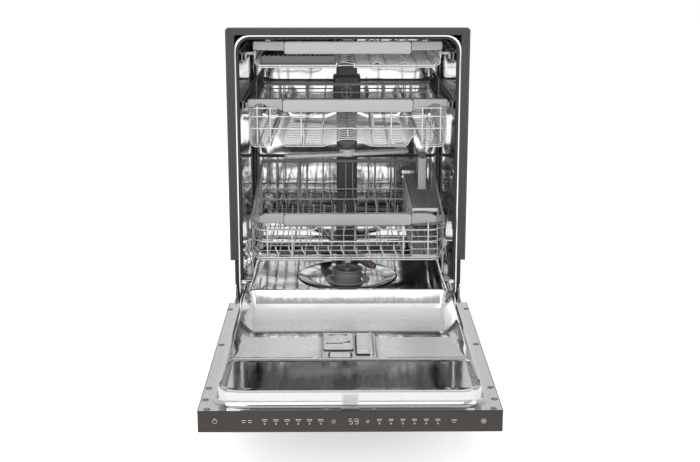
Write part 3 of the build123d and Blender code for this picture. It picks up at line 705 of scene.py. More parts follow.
class DISHWASHER_OT_trim(bpy.types.Operator):
    """Build the ribbed trim with mitred corners, and dress the seal, blanket and strike"""

    bl_idname = "dishwasher.trim"
    bl_label = "Front trim"

    def execute(self, context):
        # distance out from the inner edge, and how far back from the front
        section = [(0, 24), (0, 1.2), (0.5, 0.4), (1.2, 0)]
        for rib in range(3):
            start = 4 + 5 * rib
            section += [(start, 0), (start + 0.3, 1.3), (start + 1.7, 1.3), (start + 2, 0)]
        section += [(20.1, 0), (21, 0.4), (TRIM_WIDTH, 1.4), (TRIM_WIDTH, 24)]
        inner, top = 280.0, 837.2
        squeeze = (TRIM_TOP - top) / TRIM_WIDTH

        def station(form, corner, gap, upright):
            loop = []
            for out, depth in section:
                x = inner + out
                z = top + out * squeeze
                if corner == "foot":
                    z = 263
                elif upright:
                    z -= gap
                else:
                    x -= gap
                loop.append(form.verts.new((x, TRIM_FRONT + depth, z)))
            return [form.edges.new((a, b)) for a, b in zip(loop, loop[1:] + loop[:1])]

        form = bmesh.new()
        side_loops = [station(form, "foot", 0, True), station(form, "head", 0.25, True)]
        skin(form, side_loops)
        for loop in side_loops:
            cap(form, loop)
        bmesh.ops.mirror(form, geom=form.verts[:] + form.edges[:] + form.faces[:],
                         matrix=Matrix.Identity(4), merge_dist=-1.0, axis="X")
        half = bmesh.new()
        right = station(half, "head", 0.25, False)
        left_verts = bmesh.ops.duplicate(half, geom=half.verts[:] + right)["geom"]
        copied = [item for item in left_verts if isinstance(item, bmesh.types.BMVert)]
        for vert in copied:
            vert.co.x = -vert.co.x
        left = [item for item in left_verts if isinstance(item, bmesh.types.BMEdge)]
        skin(half, [right, left])
        cap(half, right)
        cap(half, left)
        merge(form, half)
        for side in (-1, 1):
            cut = bmesh.ops.bisect_plane(form, geom=form.verts[:] + form.edges[:] + form.faces[:],
                                         plane_co=(side * 297, 0, TRIM_TOP), plane_no=(side, 0, 1),
                                         clear_outer=True)["geom_cut"]
            edges = [item for item in cut if isinstance(item, bmesh.types.BMEdge)]
            bmesh.ops.edgenet_fill(form, edges=edges)
        bmesh.ops.recalc_face_normals(form, faces=form.faces)
        keep("front_trim_bars", form, "cabinet", "dark_trim", ["front_trim"], 25)

        # seal: a soft tube on a flat foot, round three sides
        form = bmesh.new()
        loops = []
        for inset, y in ((0.4, 95.8), (0.4, 84.5), (1.4, 82.8), (3.4, 82.2), (5.4, 82.8),
                         (6.2, 84.6), (6.2, 88.0), (6.6, 88.6), (7.0, 90.4), (7.0, 95.8)):
            outline = round_outline((-TUB_HALF + inset, 160),
                                    (TUB_HALF - inset, TUB_TOP - inset), 36 - inset, 7)
            loops.append(ring(form, [(x, y, z) for x, z in outline]))
        skin(form, loops + loops[:1])
        bmesh.ops.bisect_plane(form, geom=form.verts[:] + form.edges[:] + form.faces[:],
                               plane_co=(0, 0, 209), plane_no=(0, 0, -1), clear_outer=True)
        bmesh.ops.recalc_face_normals(form, faces=form.faces)
        keep("seal", form, "cabinet", "gasket_rubber", ["door_gasket"], 60)
        dress("insulation_blanket", "blanket_felt", 0.8)
        dress("latch_strike", "zinc_plate", 0.4)
        return {"FINISHED"}


class DISHWASHER_OT_base(bpy.types.Operator):
    """Dress the base, its feet, ports and hinge brackets, and build the kick plate"""

    bl_idname = "dishwasher.base"
    bl_label = "Base"

    def execute(self, context):
        dress("base_frame", "black_plastic", 0.6)
        dress("hose_ports", "pale_plastic", 0.4)
        dress("junction_box", "zinc_plate", 0.4)
        dress("wash_pump", "black_plastic", 0.6)
        dress("hinge_brackets", "zinc_plate", 0.3)
        form = bmesh.new()
        block(form, (-298, 102.4, 8), (298, 106, 111), 1.0)
        block(form, (-298, 90, 107.8), (298, 104, 112), 1.2)
        for x in (-240, -80, 80, 240):
            drum(form, (x, 102.6, 92), (0, -1, 0), 4.2, 1.6, 16, 0.4)
        for x in range(-250, 251, 125):
            block(form, (x - 42, 101.6, 26), (x + 42, 103, 68), 0.6)
        keep("kick_panel", form, "cabinet", "black_plastic", ["kick_plate"])
        for name in ("front_left", "front_right", "back_left", "back_right"):
            node = "foot_" + name
            low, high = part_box(node)
            middle = (low + high) / 2 / MM
            form = bmesh.new()
            turned(form, [(0, 0), (17.5, 0), (19.4, 0.7), (20, 2.4), (19.6, 5.4), (17, 8),
                          (10, 9), (8.6, 9.4), (8.6, 15), (7, 16), (6, 16.4)],
                   (middle.x, middle.y, 0), 32)
            turned(form, [(6, 16.4), *[(5.4 + 0.6 * (n % 2), 17 + 1.25 * n) for n in range(33)],
                          (0, 58.5)], (middle.x, middle.y, 0), 24)
            keep("leveller_" + name, form, node, "pale_plastic", [node], 30)
        return {"FINISHED"}


class DISHWASHER_OT_duct(bpy.types.Operator):
    """Build the feed duct on the back wall with its docking module and ceiling sprayer"""

    bl_idname = "dishwasher.duct"
    bl_label = "Feed duct"

    def execute(self, context):
        form = bmesh.new()
        plate(form, [(582, 152), (590, 154), (603, 165), (609.6, 182), (609.6, 330), (582, 330)],
              0, -30.5, 61, 4.5, 3)
        plate(form, [(582, 677), (609.6, 677), (609.6, 774), (603, 791), (590, 801), (582, 803.6)],
              0, -30.5, 61, 4.5, 3)
        for low, high in ((330.5, 470), (470.5, 599)):
            block(form, (-30.5, 582, low), (30.5, 609.6, high), 4.5, 3)
        for low, high in ((152, 330), (330.5, 470), (470.5, 599), (677, 804)):
            for x in (-24, 24):
                block(form, (x - 1.2, 581.2, low + 5), (x + 1.2, 584, high - 5), 0.5)
        block(form, (-40, 578, 600), (40, 609.6, 676), 5, 3)
        block(form, (-36, 576.8, 604), (36, 580, 672), 1.2)
        front, drop = 822.7, 190 * ROOF_FALL
        plate(form, [(400, front - 9), (590, front - 9 - drop), (590, front - 2.4 - drop),
                     (400, front - 2.4)], 0, -22, 44, 2.4, 3)
        turned(form, [(0, -8), (9, -8), (11, -7), (12, -4), (26, -3.4), (29.4, -1.6), (30, 1),
                      (30, 3), (28, 4.6), (0, 5)], (0, 400, 814), 40)
        for turn in range(8):
            angle = math.tau * turn / 8
            drum(form, (20 * math.cos(angle), 400 + 20 * math.sin(angle), 811.4), (0, 0, -1),
                 1.8, 1.2, 10)
        keep("spray_duct", form, "cabinet", "duct_plastic", ["feed_duct"])

        # docking port: a raised collar round a dark mouth, the dark being painted shade from a
        # black plate, and clips beside it
        form = bmesh.new()
        outer = round_outline((-17, 610), (17, 646), 15, 6)
        inner = round_outline((-12, 615), (12, 641), 11, 6)
        loops = [ring(form, [(x, y, z) for x, z in line]) for line, y in
                 ((outer, 577.2), (outer, 574.6), (inner, 574.2), (inner, 579.5))]
        skin(form, loops)
        bmesh.ops.recalc_face_normals(form, faces=form.faces)
        for x in (-27, 27):
            block(form, (x - 3, 575.4, 650), (x + 3, 577.6, 668), 0.8)
        keep("duct_port", form, "cabinet", "sump_plastic")
        # painted shade: a black plate inside the collar stands for the dark of the open port
        form = bmesh.new()
        plate(form, round_outline((-12.5, 614.5), (12.5, 641.5), 11, 6), 1, 577.6, 0.8)
        keep("duct_mouth", form, "cabinet", "edge_black")
        dress("upper_rail_channels", "zinc_plate", 0.4)
        dress("third_rail_channels", "zinc_plate", 0.4)
        dress("upper_slides", "zinc_plate", 0.4)
        dress("third_slides", "zinc_plate", 0.4)
        return {"FINISHED"}


class DISHWASHER_OT_sump(bpy.types.Operator):
    """Build the sump ring, its filter cup and the lower spray arm"""

    bl_idname = "dishwasher.sump"
    bl_label = "Sump and lower arm"

    def execute(self, context):
        form = bmesh.new()
        turned(form, [(41.4, -40), (41.4, 0), (44, 2.2), (58, 2.4), (61, 1.8), (62, 0.2)],
               (0, FILTER_Y, TUB_FLOOR), 56)
        turned(form, [(24, 0.2), (23.4, 3), (21, 4), (16.5, 5), (15.8, 8), (15.8, 55)],
               (0, SPRAY_Y, TUB_FLOOR), 40)
        for rib in range(12):
            angle = math.tau * rib / 12
            drum(form, (52 * math.cos(angle), FILTER_Y + 52 * math.sin(angle), 152), (0, 0, 1),
                 2.0, 1.0, 10)
        keep("sump_ring", form, "cabinet", "sump_plastic", ["sump"])

        form = bmesh.new()
        turned(form, [(0, 107), (36, 107), (38, 109), (38, 160), (42.4, 161), (43, 163.5),
                      (38, 165), (37.5, 176), (40, 177.4), (41.8, 179.5), (41, 181.6),
                      (38, 182), (35, 181), (34, 178), (34, 162), (33, 110)], (0, FILTER_Y, 0), 56)
        block(form, (-3.4, 249, 150), (3.4, 321, 181.5), 1.5)
        block(form, (-7, 270, 178), (7, 300, 183.5), 2.4)
        keep("filter", form, "filter_cup", "sump_plastic", ["filter_cup"])

        form = bmesh.new()
        for turn in ARM_TURNS:
            arm = bmesh.new()
            outline = [(20, -19), (70, -20), (130, -19), (180, -15), (201, -8), (206, 0),
                       (201, 8), (180, 13), (130, 15), (70, 17), (20, 19)]
            plate(arm, outline, 2, 208.4, 11, 3.4, 3)
            block(arm, (26, -2.2, 218), (150, 2.2, 221), 0.9)
            swing(arm, turn, "Z", (0, SPRAY_Y, 0))
            merge(form, arm)
        hub = [(0, 224), (20, 223.5), (29, 221), (33, 216), (34, 210), (33, 206), (17, 205.6)]
        turned(form, hub, (0, SPRAY_Y, 0), 48)
        keep("lower_arm", form, "lower_spray_arm", "duct_plastic", ["lower_spray_arm"])
        form = bmesh.new()
        for turn in ARM_TURNS:
            angle = math.radians(turn)
            for place in (60, 104, 148, 186):
                x = place * math.cos(angle) + 6 * math.sin(angle)
                y = SPRAY_Y + place * math.sin(angle) - 6 * math.cos(angle)
                turned(form, [(4.6, 219.2), (4.4, 220.6), (3.0, 221.4), (1.8, 220.8), (1.6, 219.2)],
                       (x, y, 0), 14)
            inlay = bmesh.new()
            block(inlay, (116, 4.0, 218.8), (192, 9.0, 220.2), 0.5)
            swing(inlay, turn, "Z", (0, SPRAY_Y, 0))
            merge(form, inlay)
        turned(form, [(13, 223.4), (12.6, 225), (10.5, 225.6), (0, 225.6)], (0, SPRAY_Y, 0), 32)
        keep("lower_arm_jets", form, "lower_spray_arm", "copper_accent")
        return {"FINISHED"}


# ---------------------------------------------------------------- door


def wall_width(y):
    """How far the liner's side wall leans in, at a distance along the door."""
    return line_through(y, [(-700, 6), (-398, 6), (-190, 34), (-110, 22), (100, 20)])


def pan_height(x, y):
    """Height of the liner's pressed pan."""
    slope = line_through(y, [(-700, 178), (-404.5, 178), (-402.5, 181.4), (-400.4, 182.4),
                             (-225, 173.5), (-186, 168.5), (-168, 160.4), (-120, 157.4),
                             (33, 156)])
    if -400 < y < -224:
        slope = min(slope, 175.6 + 0.34 * max(0.0, abs(x) - 61.5) + 0.06 * max(0.0, y + 400))
    return slope


def rim_height(inset):
    """Height of the liner's rim by distance in from its inner edge."""
    return line_through(inset, [(-24, 168.3), (-21, FLANGE_TOP), (-20, 169), (-16.5, 169),
                                (-14.4, 169.6), (-12.4, 172), (-11.0, 177), (-10, 184),
                                (-9.1, 195), (-8.4, 197.8), (-6.8, 199), (-2.4, 199),
                                (-0.8, 198), (0, 195.5)])


class DISHWASHER_OT_liner(bpy.types.Operator):
    """Build the door's pressed steel liner with its rim, ridge, well and flange"""

    bl_idname = "dishwasher.liner"
    bl_label = "Door liner"

    def execute(self, context):
        half, near, far, bend = 257.0, -615.0, 33.0, 29.0
        middle, wall_top = 82.5, 195.5
        outside = [-24, -21, -20, -16.5, -15.4, -14.4, -13.4, -12.4, -11.0, -10, -9.1, -8.8, -8.4,
                   -7.6, -6.8, -2.4, -1.6, -0.8, -0.3, 0]
        parts = [0.12, 0.3, 0.5, 0.7, 0.85, 0.95, 1.0, 1.06]
        middle_x = [-1, -0.86, -0.72, -0.58, -0.44, -82.5, -72, -60.4, -40, -20]
        columns = [("out", d) for d in outside] + [("wall", t) for t in parts]
        columns += [("share", v) if abs(v) <= 1 else ("at", v) for v in middle_x[1:]]
        columns += [("at", 0)]
        columns += [(kind, value) for kind, value in reversed(columns[:-1])]
        turn = len(columns) // 2
        rows = [near + d for d in outside] + [near + 6 * t for t in parts]
        rows += list(range(-600, -420, 20))
        rows += [-414, -406, -404, -403, -402, -401.5, -400.4, -399, -396, -390]
        rows += list(range(-376, -236, 14)) + [-229.6, -222, -210, -196, -182, -176, -168, -160,
                                               -150, -136, -120, -96, -70, -45, -25, -5]
        rows += [far - 20 * t for t in reversed(parts)] + [far - d for d in reversed(outside)]
        form = bmesh.new()
        verts = bmesh.ops.create_grid(form, x_segments=len(columns) - 1,
                                      y_segments=len(rows) - 1, size=0.5)["verts"]
        for vert in verts:
            column = round((vert.co.x + 0.5) * (len(columns) - 1))
            y = rows[round((vert.co.y + 0.5) * (len(rows) - 1))]
            kind, value = columns[column]
            lean = wall_width(y)
            if kind == "out":
                x = half - value
            elif kind == "wall":
                x = half - lean * value
            elif kind == "share":
                x = middle + (half - lean * 1.06 - middle) * (abs(value) - 0.3) / 0.7
            else:
                x = abs(value)
            x = x if column > turn else -x
            if column == turn:
                x = 0.0
            inset_x, inset_y = half - abs(x), min(y - near, far - y)
            inset = min(inset_x, inset_y)
            if inset_x < bend and inset_y < bend:
                across, along = 1 - inset_x / bend, 1 - inset_y / bend
                reach = max(across, along)
                if across >= along:
                    angle = math.pi / 4 * along / across
                else:
                    angle = math.pi / 2 - math.pi / 4 * across / along
                x = math.copysign(half - bend + bend * reach * math.cos(angle), x)
                end = far - bend if y > (near + far) / 2 else near + bend
                outward = 1 if y > (near + far) / 2 else -1
                y = end + outward * bend * reach * math.sin(angle)
                inset = bend * (1 - reach)
            if inset <= 0:
                z = rim_height(inset)
            else:
                floor = pan_height(x, y)
                wide = 6 if y < -560 else 20 if y > 4 else wall_width(y)
                rise = max(0.0, 1 - inset / wide)
                z = floor + (wall_top - floor) * rise ** (1.5 if wide < 8 else 1.12)
            inward = min(1.0, max(0.0, (inset + 6.8) / 4.4))
            shift = 8 * inward * min(1.0, max(0.0, (-560 - y) / 30))
            vert.co = (x, y + shift, z)
        # the dispenser stands in a hole
        hole = []
        for face in form.faces:
            centre = face.calc_center_median()
            if abs(centre.x) < 60.3 and -400.3 < centre.y < -229.7:
                hole.append(face)
        bmesh.ops.delete(form, geom=hole, context="FACES")
        rim = [edge for edge in form.edges if edge.is_boundary
               and all(vert.co.z < 169.5
                       and not (abs(vert.co.x) < 62 and -402 < vert.co.y < -228)
                       for vert in edge.verts)]
        outline = both_halves([(300, -651), (300, 22), (281, 22), (281, 74)])
        edge_loop = ring(form, [(x, y, 168.3) for x, y in outline])
        bmesh.ops.triangle_fill(form, edges=rim + edge_loop, use_beauty=True, use_dissolve=False)
        skirt = bmesh.ops.extrude_edge_only(form, edges=edge_loop)["geom"]
        low = [item for item in skirt if isinstance(item, bmesh.types.BMVert)]
        bmesh.ops.translate(form, vec=(0, 0, -2.2), verts=low)
        bmesh.ops.recalc_face_normals(form, faces=form.faces)
        top = max(form.faces, key=lambda face: face.calc_center_median().z)
        if top.normal.z < 0:
            bmesh.ops.reverse_faces(form, faces=form.faces)
        liner = keep("liner", form, "door", "liner_steel", ["door_liner"], 32)
        liner.data.materials.append(finish("satin_steel"))
        for face in liner.data.polygons:
            place = face.center
            inside = abs(place.x) < 0.245 and place.z < 0.19
            face.material_index = int(inside and (-0.397 < place.y < -0.24
                                                  or -0.165 < place.y < 0.02))
        thicken(liner, sizes().sheet / MM)

        form = bmesh.new()
        for side in (-1, 1):
            for x, y in ((294, -30), (290, -281), (290, -535), (290, -595), (282, -642),
                         (47, -641)):
                turned(form, [(0, 0.3), (1.2, 0.4), (1.6, 1.3), (3.0, 1.2), (3.7, 0.7), (3.9, 0)],
                       (side * x, y, FLANGE_TOP), 18)
                if x < 295:
                    turned(form, [(3.9, 0.1), (6.6, 0.5), (7.2, 0.05)],
                           (side * x, y, FLANGE_TOP), 24)
        keep("liner_fixings", form, "door", "zinc_plate", ["liner_screws"])

        # painted shade: a flat black plate on the flange stands for the latch's opening
        form = bmesh.new()
        plate(form, [(-18, -649), (18, -649), (15, -641), (-15, -641)], 2, 167.8, 1.2, 0.3)
        keep("latch_mouth", form, "door", "edge_black")
        return {"FINISHED"}


class DISHWASHER_OT_vent(bpy.types.Operator):
    """Build the vent cover on the liner's near wall"""

    bl_idname = "dishwasher.vent"
    bl_label = "Vent cover"

    def execute(self, context):
        form = bmesh.new()
        profile = ((0, -623.0), (0, -627.0), (1.4, -628.0), (4.5, -628.2), (5.4, -626.6),
                   (8, -626.4))
        shell(form, 1, profile, (-17, 171.5), (17, 196), lambda shrink: max(1.5, 4 - shrink / 2),
              squeeze=0.8)
        keep("vent", form, "door", "pale_plastic", ["vent_cover"])
        form = bmesh.new()
        block(form, (-11.2, -627.0, 176.6), (11.2, -626.2, 191), 0.2)
        for z in (178.6, 182.6, 186.6):
            block(form, (-8, -627.8, z), (8, -626.6, z + 2.0), 0.4)
        keep("vent_core", form, "door", "basket_plastic", ())
        return {"FINISHED"}


class DISHWASHER_OT_dispenser(bpy.types.Operator):
    """Build the dispenser with its sliding detergent lid and hinged rinse aid lid"""

    bl_idname = "dishwasher.dispenser"
    bl_label = "Dispenser"

    def execute(self, context):
        form = bmesh.new()
        profile = ((0, 150), (0, 175.2), (0.8, 176), (4, 176), (4.8, 175.2), (5.2, 173.6))
        shell(form, 2, profile, (-60, -400), (60, -230), lambda shrink: 9 - shrink / 2, 5)
        block(form, (-59.4, -342, 172), (-57.6, -234, 180.6), 0.7)
        block(form, (9.6, -342, 172), (11.4, -234, 180.6), 0.7)
        for y in (-369.6, -239.4):
            block(form, (45.6, y, 173), (51.4, y + 3, 182.6), 1.2)
        drum(form, (48.5, -368.6, 180.4), (0, 1, 0), 1.5, 131, 14)
        turned(form, [(12, 175.0), (11.6, 176.2), (9.4, 176.4), (8.8, 172)], (31, -303, 0), 28)
        block(form, (-43, -383, 173), (3, -350, 177.4), 2.6, 3)
        keep("dispenser", form, "door", "pale_plastic", ["dispenser_body"])

        form = bmesh.new()
        turned(form, [(0, 179.4), (5.2, 179.4), (6.6, 178.8), (7.0, 177.6), (7.0, 176.2)],
               (-20, -369, 0), 28)
        keep("dispenser_button", form, "door", "pale_plastic")
        # painted shade: black plates just larger than the two lids and the button's pad darken the
        # gaps round them and the well before the button
        form = bmesh.new()
        plate(form, round_outline((-59, -341), (11, -235.6), 4, 4), 2, 176.0, 0.4)
        plate(form, round_outline((14, -369), (52, -237), 4, 4), 2, 176.0, 0.4)
        plate(form, round_outline((-46, -386), (6, -346), 12, 4), 2, 176.0, 0.4)
        keep("rinse_aid_mouth", form, "door", "edge_black")

        form = bmesh.new()
        profile = ((0.4, 176.5), (0, 177.2), (0, 179.8), (0.5, 180.7), (1.4, 181), (5.5, 181),
                   (6.2, 180.5), (7.4, 180.5), (8.0, 181.0))
        shell(form, 2, profile, (-56.8, -337), (8.8, -239),
              lambda shrink: max(1.5, 6 - shrink / 2), 5)
        plate(form, [(-42, -262), (-6, -262), (-6, -259), (-24, -251), (-42, -259)], 2, 180.9, 1.1,
              0.4)
        for x in (-44, -24, -4):
            block(form, (x - 0.6, -330, 180.8), (x + 0.6, -272, 181.6), 0.3)
        block(form, (-34, -336, 181), (-14, -325, 184.2), 1.4, 3)
        keep("powder_lid", form, "detergent_lid", "pale_plastic", ["detergent_lid"])
        # painted shade: black bars and a notch on the lid stand for the dark in its slots and
        # beside its grip
        form = bmesh.new()
        block(form, (-44, -256, 180.6), (-4, -250, 181.5), 0.3)
        plate(form, [(-16, -303), (2, -303), (2, -292)], 2, 180.6, 0.9, 0.2)
        block(form, (-52, -310, 180.6), (-14, -305, 181.5), 0.3)
        keep("powder_lid_cuts", form, "detergent_lid", "edge_black", ())

        form = bmesh.new()
        profile = ((0.3, 177.9), (0, 178.6), (0, 180.4), (0.5, 181.2), (1.4, 181.5), (3.6, 181.5),
                   (4.4, 181.0), (5.4, 181.0))
        shell(form, 2, profile, (17, -365.8), (47.6, -240.2),
              lambda shrink: max(1.2, 4 - shrink / 2))
        drum(form, (48.5, -365.6, 180.4), (0, 1, 0), 3, 125.2, 20, 0.3)
        block(form, (19, -364, 180.6), (44, -349, 185.4), 1.8, 3)
        for y in (-330, -310, -290, -270):
            block(form, (23, y, 180.8), (42, y + 1.2, 181.8), 0.3)
        keep("rinse_lid", form, "rinse_aid_lid", "pale_plastic", ["rinse_aid_lid"])
        return {"FINISHED"}


def icon_bar(form, x, z, width, height):
    """One flat printed mark on the control strip."""
    block(form, (x - width / 2, STRIP_FRONT - 0.12, z - height / 2),
          (x + width / 2, STRIP_FRONT + 0.2, z + height / 2))


def icon_ring(form, x, z, radius):
    """A printed ring on the control strip."""
    outline = [(radius, -0.12), (radius, 0.12), (radius - 0.7, 0.12), (radius - 0.7, -0.12)]
    made = bmesh.new()
    turned(made, outline + outline[:1], (0, 0, 0), 20)
    swing(made, 90, "X", (x, STRIP_FRONT, z))
    merge(form, made)


class DISHWASHER_OT_door_skin(bpy.types.Operator):
    """Build the outer panel, grip, control strip and its generic marks, and dress the hinge arms"""

    bl_idname = "dishwasher.door_skin"
    bl_label = "Door skin and strip"

    def execute(self, context):
        form = bmesh.new()
        outline = both_halves([(300, -651), (300, 22), (281.6, 22), (281.6, 74)])
        stages = [(0, 166.4), (0, 128.4), (0.5, 126.6), (1.6, 125.4), (3.4, 125)]
        loops = []
        for shrink, z in stages:
            line = [(x - math.copysign(shrink, x), y + shrink if y < -600 else y - shrink)
                    for x, y in outline]
            loops.append(ring(form, [(x, y, z) for x, y in line]))
        skin(form, loops)
        outline = round_outline((-149, -629), (149, -591), 12, 6)
        pocket = ring(form, [(x, y, 125) for x, y in outline])
        bmesh.ops.triangle_fill(form, edges=loops[-1] + pocket, use_beauty=True)
        walls = [pocket]
        for shrink, z in ((0.6, 125.6), (1.0, 127), (2.0, 144), (4, 147), (8, 148.2)):
            line = round_outline((-149 + shrink, -629 + shrink), (149 - shrink, -591 - shrink),
                                 max(3, 12 - shrink), 6)
            walls.append(ring(form, [(x, y, z) for x, y in line]))
        skin(form, walls)
        cap(form, walls[-1])
        bmesh.ops.recalc_face_normals(form, faces=form.faces)
        side = max(form.faces, key=lambda face: face.calc_center_median().x)
        if side.normal.x < 0:
            bmesh.ops.reverse_faces(form, faces=form.faces)
        panel = keep("outer_panel", form, "door", "door_finish",
                     ["door_outer_panel", "handle_pocket"], 32)
        thicken(panel, 0.9)

        form = bmesh.new()
        plate(form, round_outline((-299.4, 125.2), (299.4, 168.8), 2.4, 4), 1, -651.4, -3.6, 0.7, 3)
        keep("strip_face", form, "door", "strip_finish", ["control_strip"])
        form = bmesh.new()
        block(form, (-300, -652.6, 124.8), (300, -651.2, 169.2), 0.4)
        for x in (-300.4, 299.0):
            block(form, (x, -651, 163.4), (x + 1.4, 21, 168.9), 0.5)
        keep("strip_edges", form, "door", "edge_black")

        form = bmesh.new()
        middle = 147.5
        icon_ring(form, -266, middle + 1, 4.6)
        icon_bar(form, -266, middle + 5.4, 1.0, 4.4)
        for x in (-209, -197):
            icon_bar(form, x, middle + 2.6, 8, 1.1)
            icon_bar(form, x, middle - 1.6, 6, 0.9)
        for start, pitch, width, kinds in ((-168, 22, 11, 3), (57, 23, 10, 2)):
            for index in range(6):
                x = start + index * pitch
                icon_bar(form, x, middle + 4.4, width, 1.0)
                icon_bar(form, x, middle + 1.2, width - 3 + index % kinds, 0.9)
                icon_ring(form, x, middle - 4.6, 1.6)
        icon_ring(form, -33, middle, 3.6)
        for offset in (0, 11):
            for z in (-5.2, 0, 5.2):
                icon_bar(form, 1 + offset, middle + z, 5.4, 0.9)
            icon_bar(form, 1 + offset + 3.1, middle - 2.6, 0.9, 4.4)
            icon_bar(form, 1 + offset - 3.1, middle + 2.6, 0.9, 4.4)
        icon_bar(form, 15.1, middle + 2.6, 0.9, 4.4)
        icon_ring(form, 34, middle, 2.8)
        icon_bar(form, 204, middle + 2.4, 11, 1.1)
        icon_bar(form, 204, middle - 2.0, 7, 0.9)
        icon_ring(form, 262, middle, 5.0)
        arrow = [(260.6, middle - 2.4), (264.6, middle), (260.6, middle + 2.4)]
        plate(form, arrow, 1, STRIP_FRONT - 0.12, 0.3)
        keep("strip_marks", form, "door", "legend_ink")
        dress("hinge_arms", "zinc_plate", 0.4)
        return {"FINISHED"}


# ---------------------------------------------------------------- racks


def handle_bar(form, outline):
    """A rack handle: a front outline pushed back, with its edges rounded."""
    plate(form, outline, 1, HANDLE_FRONT, HANDLE_DEPTH, sizes().handle_bend / MM, 3)


def insert_plate(name, body, low, high, node):
    """The bright insert of a handle: a thin dished plate with a raised border."""
    form = bmesh.new()
    profile = ((0, 112.4), (0, 111.4), (0.5, 110.9), (1.6, 110.8), (2.2, 111.2), (3.0, 111.2),
               (3.4, 110.9), (4.4, 110.8))
    shell(form, 1, profile, low, high, lambda shrink: max(1.5, 7 - shrink), 5)
    keep(name, form, body, "insert_metal", [node] if node else (), 30)
    # painted shade: a black block just proud of the handle shows as a dark gap round the insert
    form = bmesh.new()
    block(form, (low[0] - 1.4, 111.75, low[1] - 0.6), (high[0] + 1.4, 113, high[1] + 0.8), 0.3)
    keep(name + "_gap", form, body, "edge_black", ())


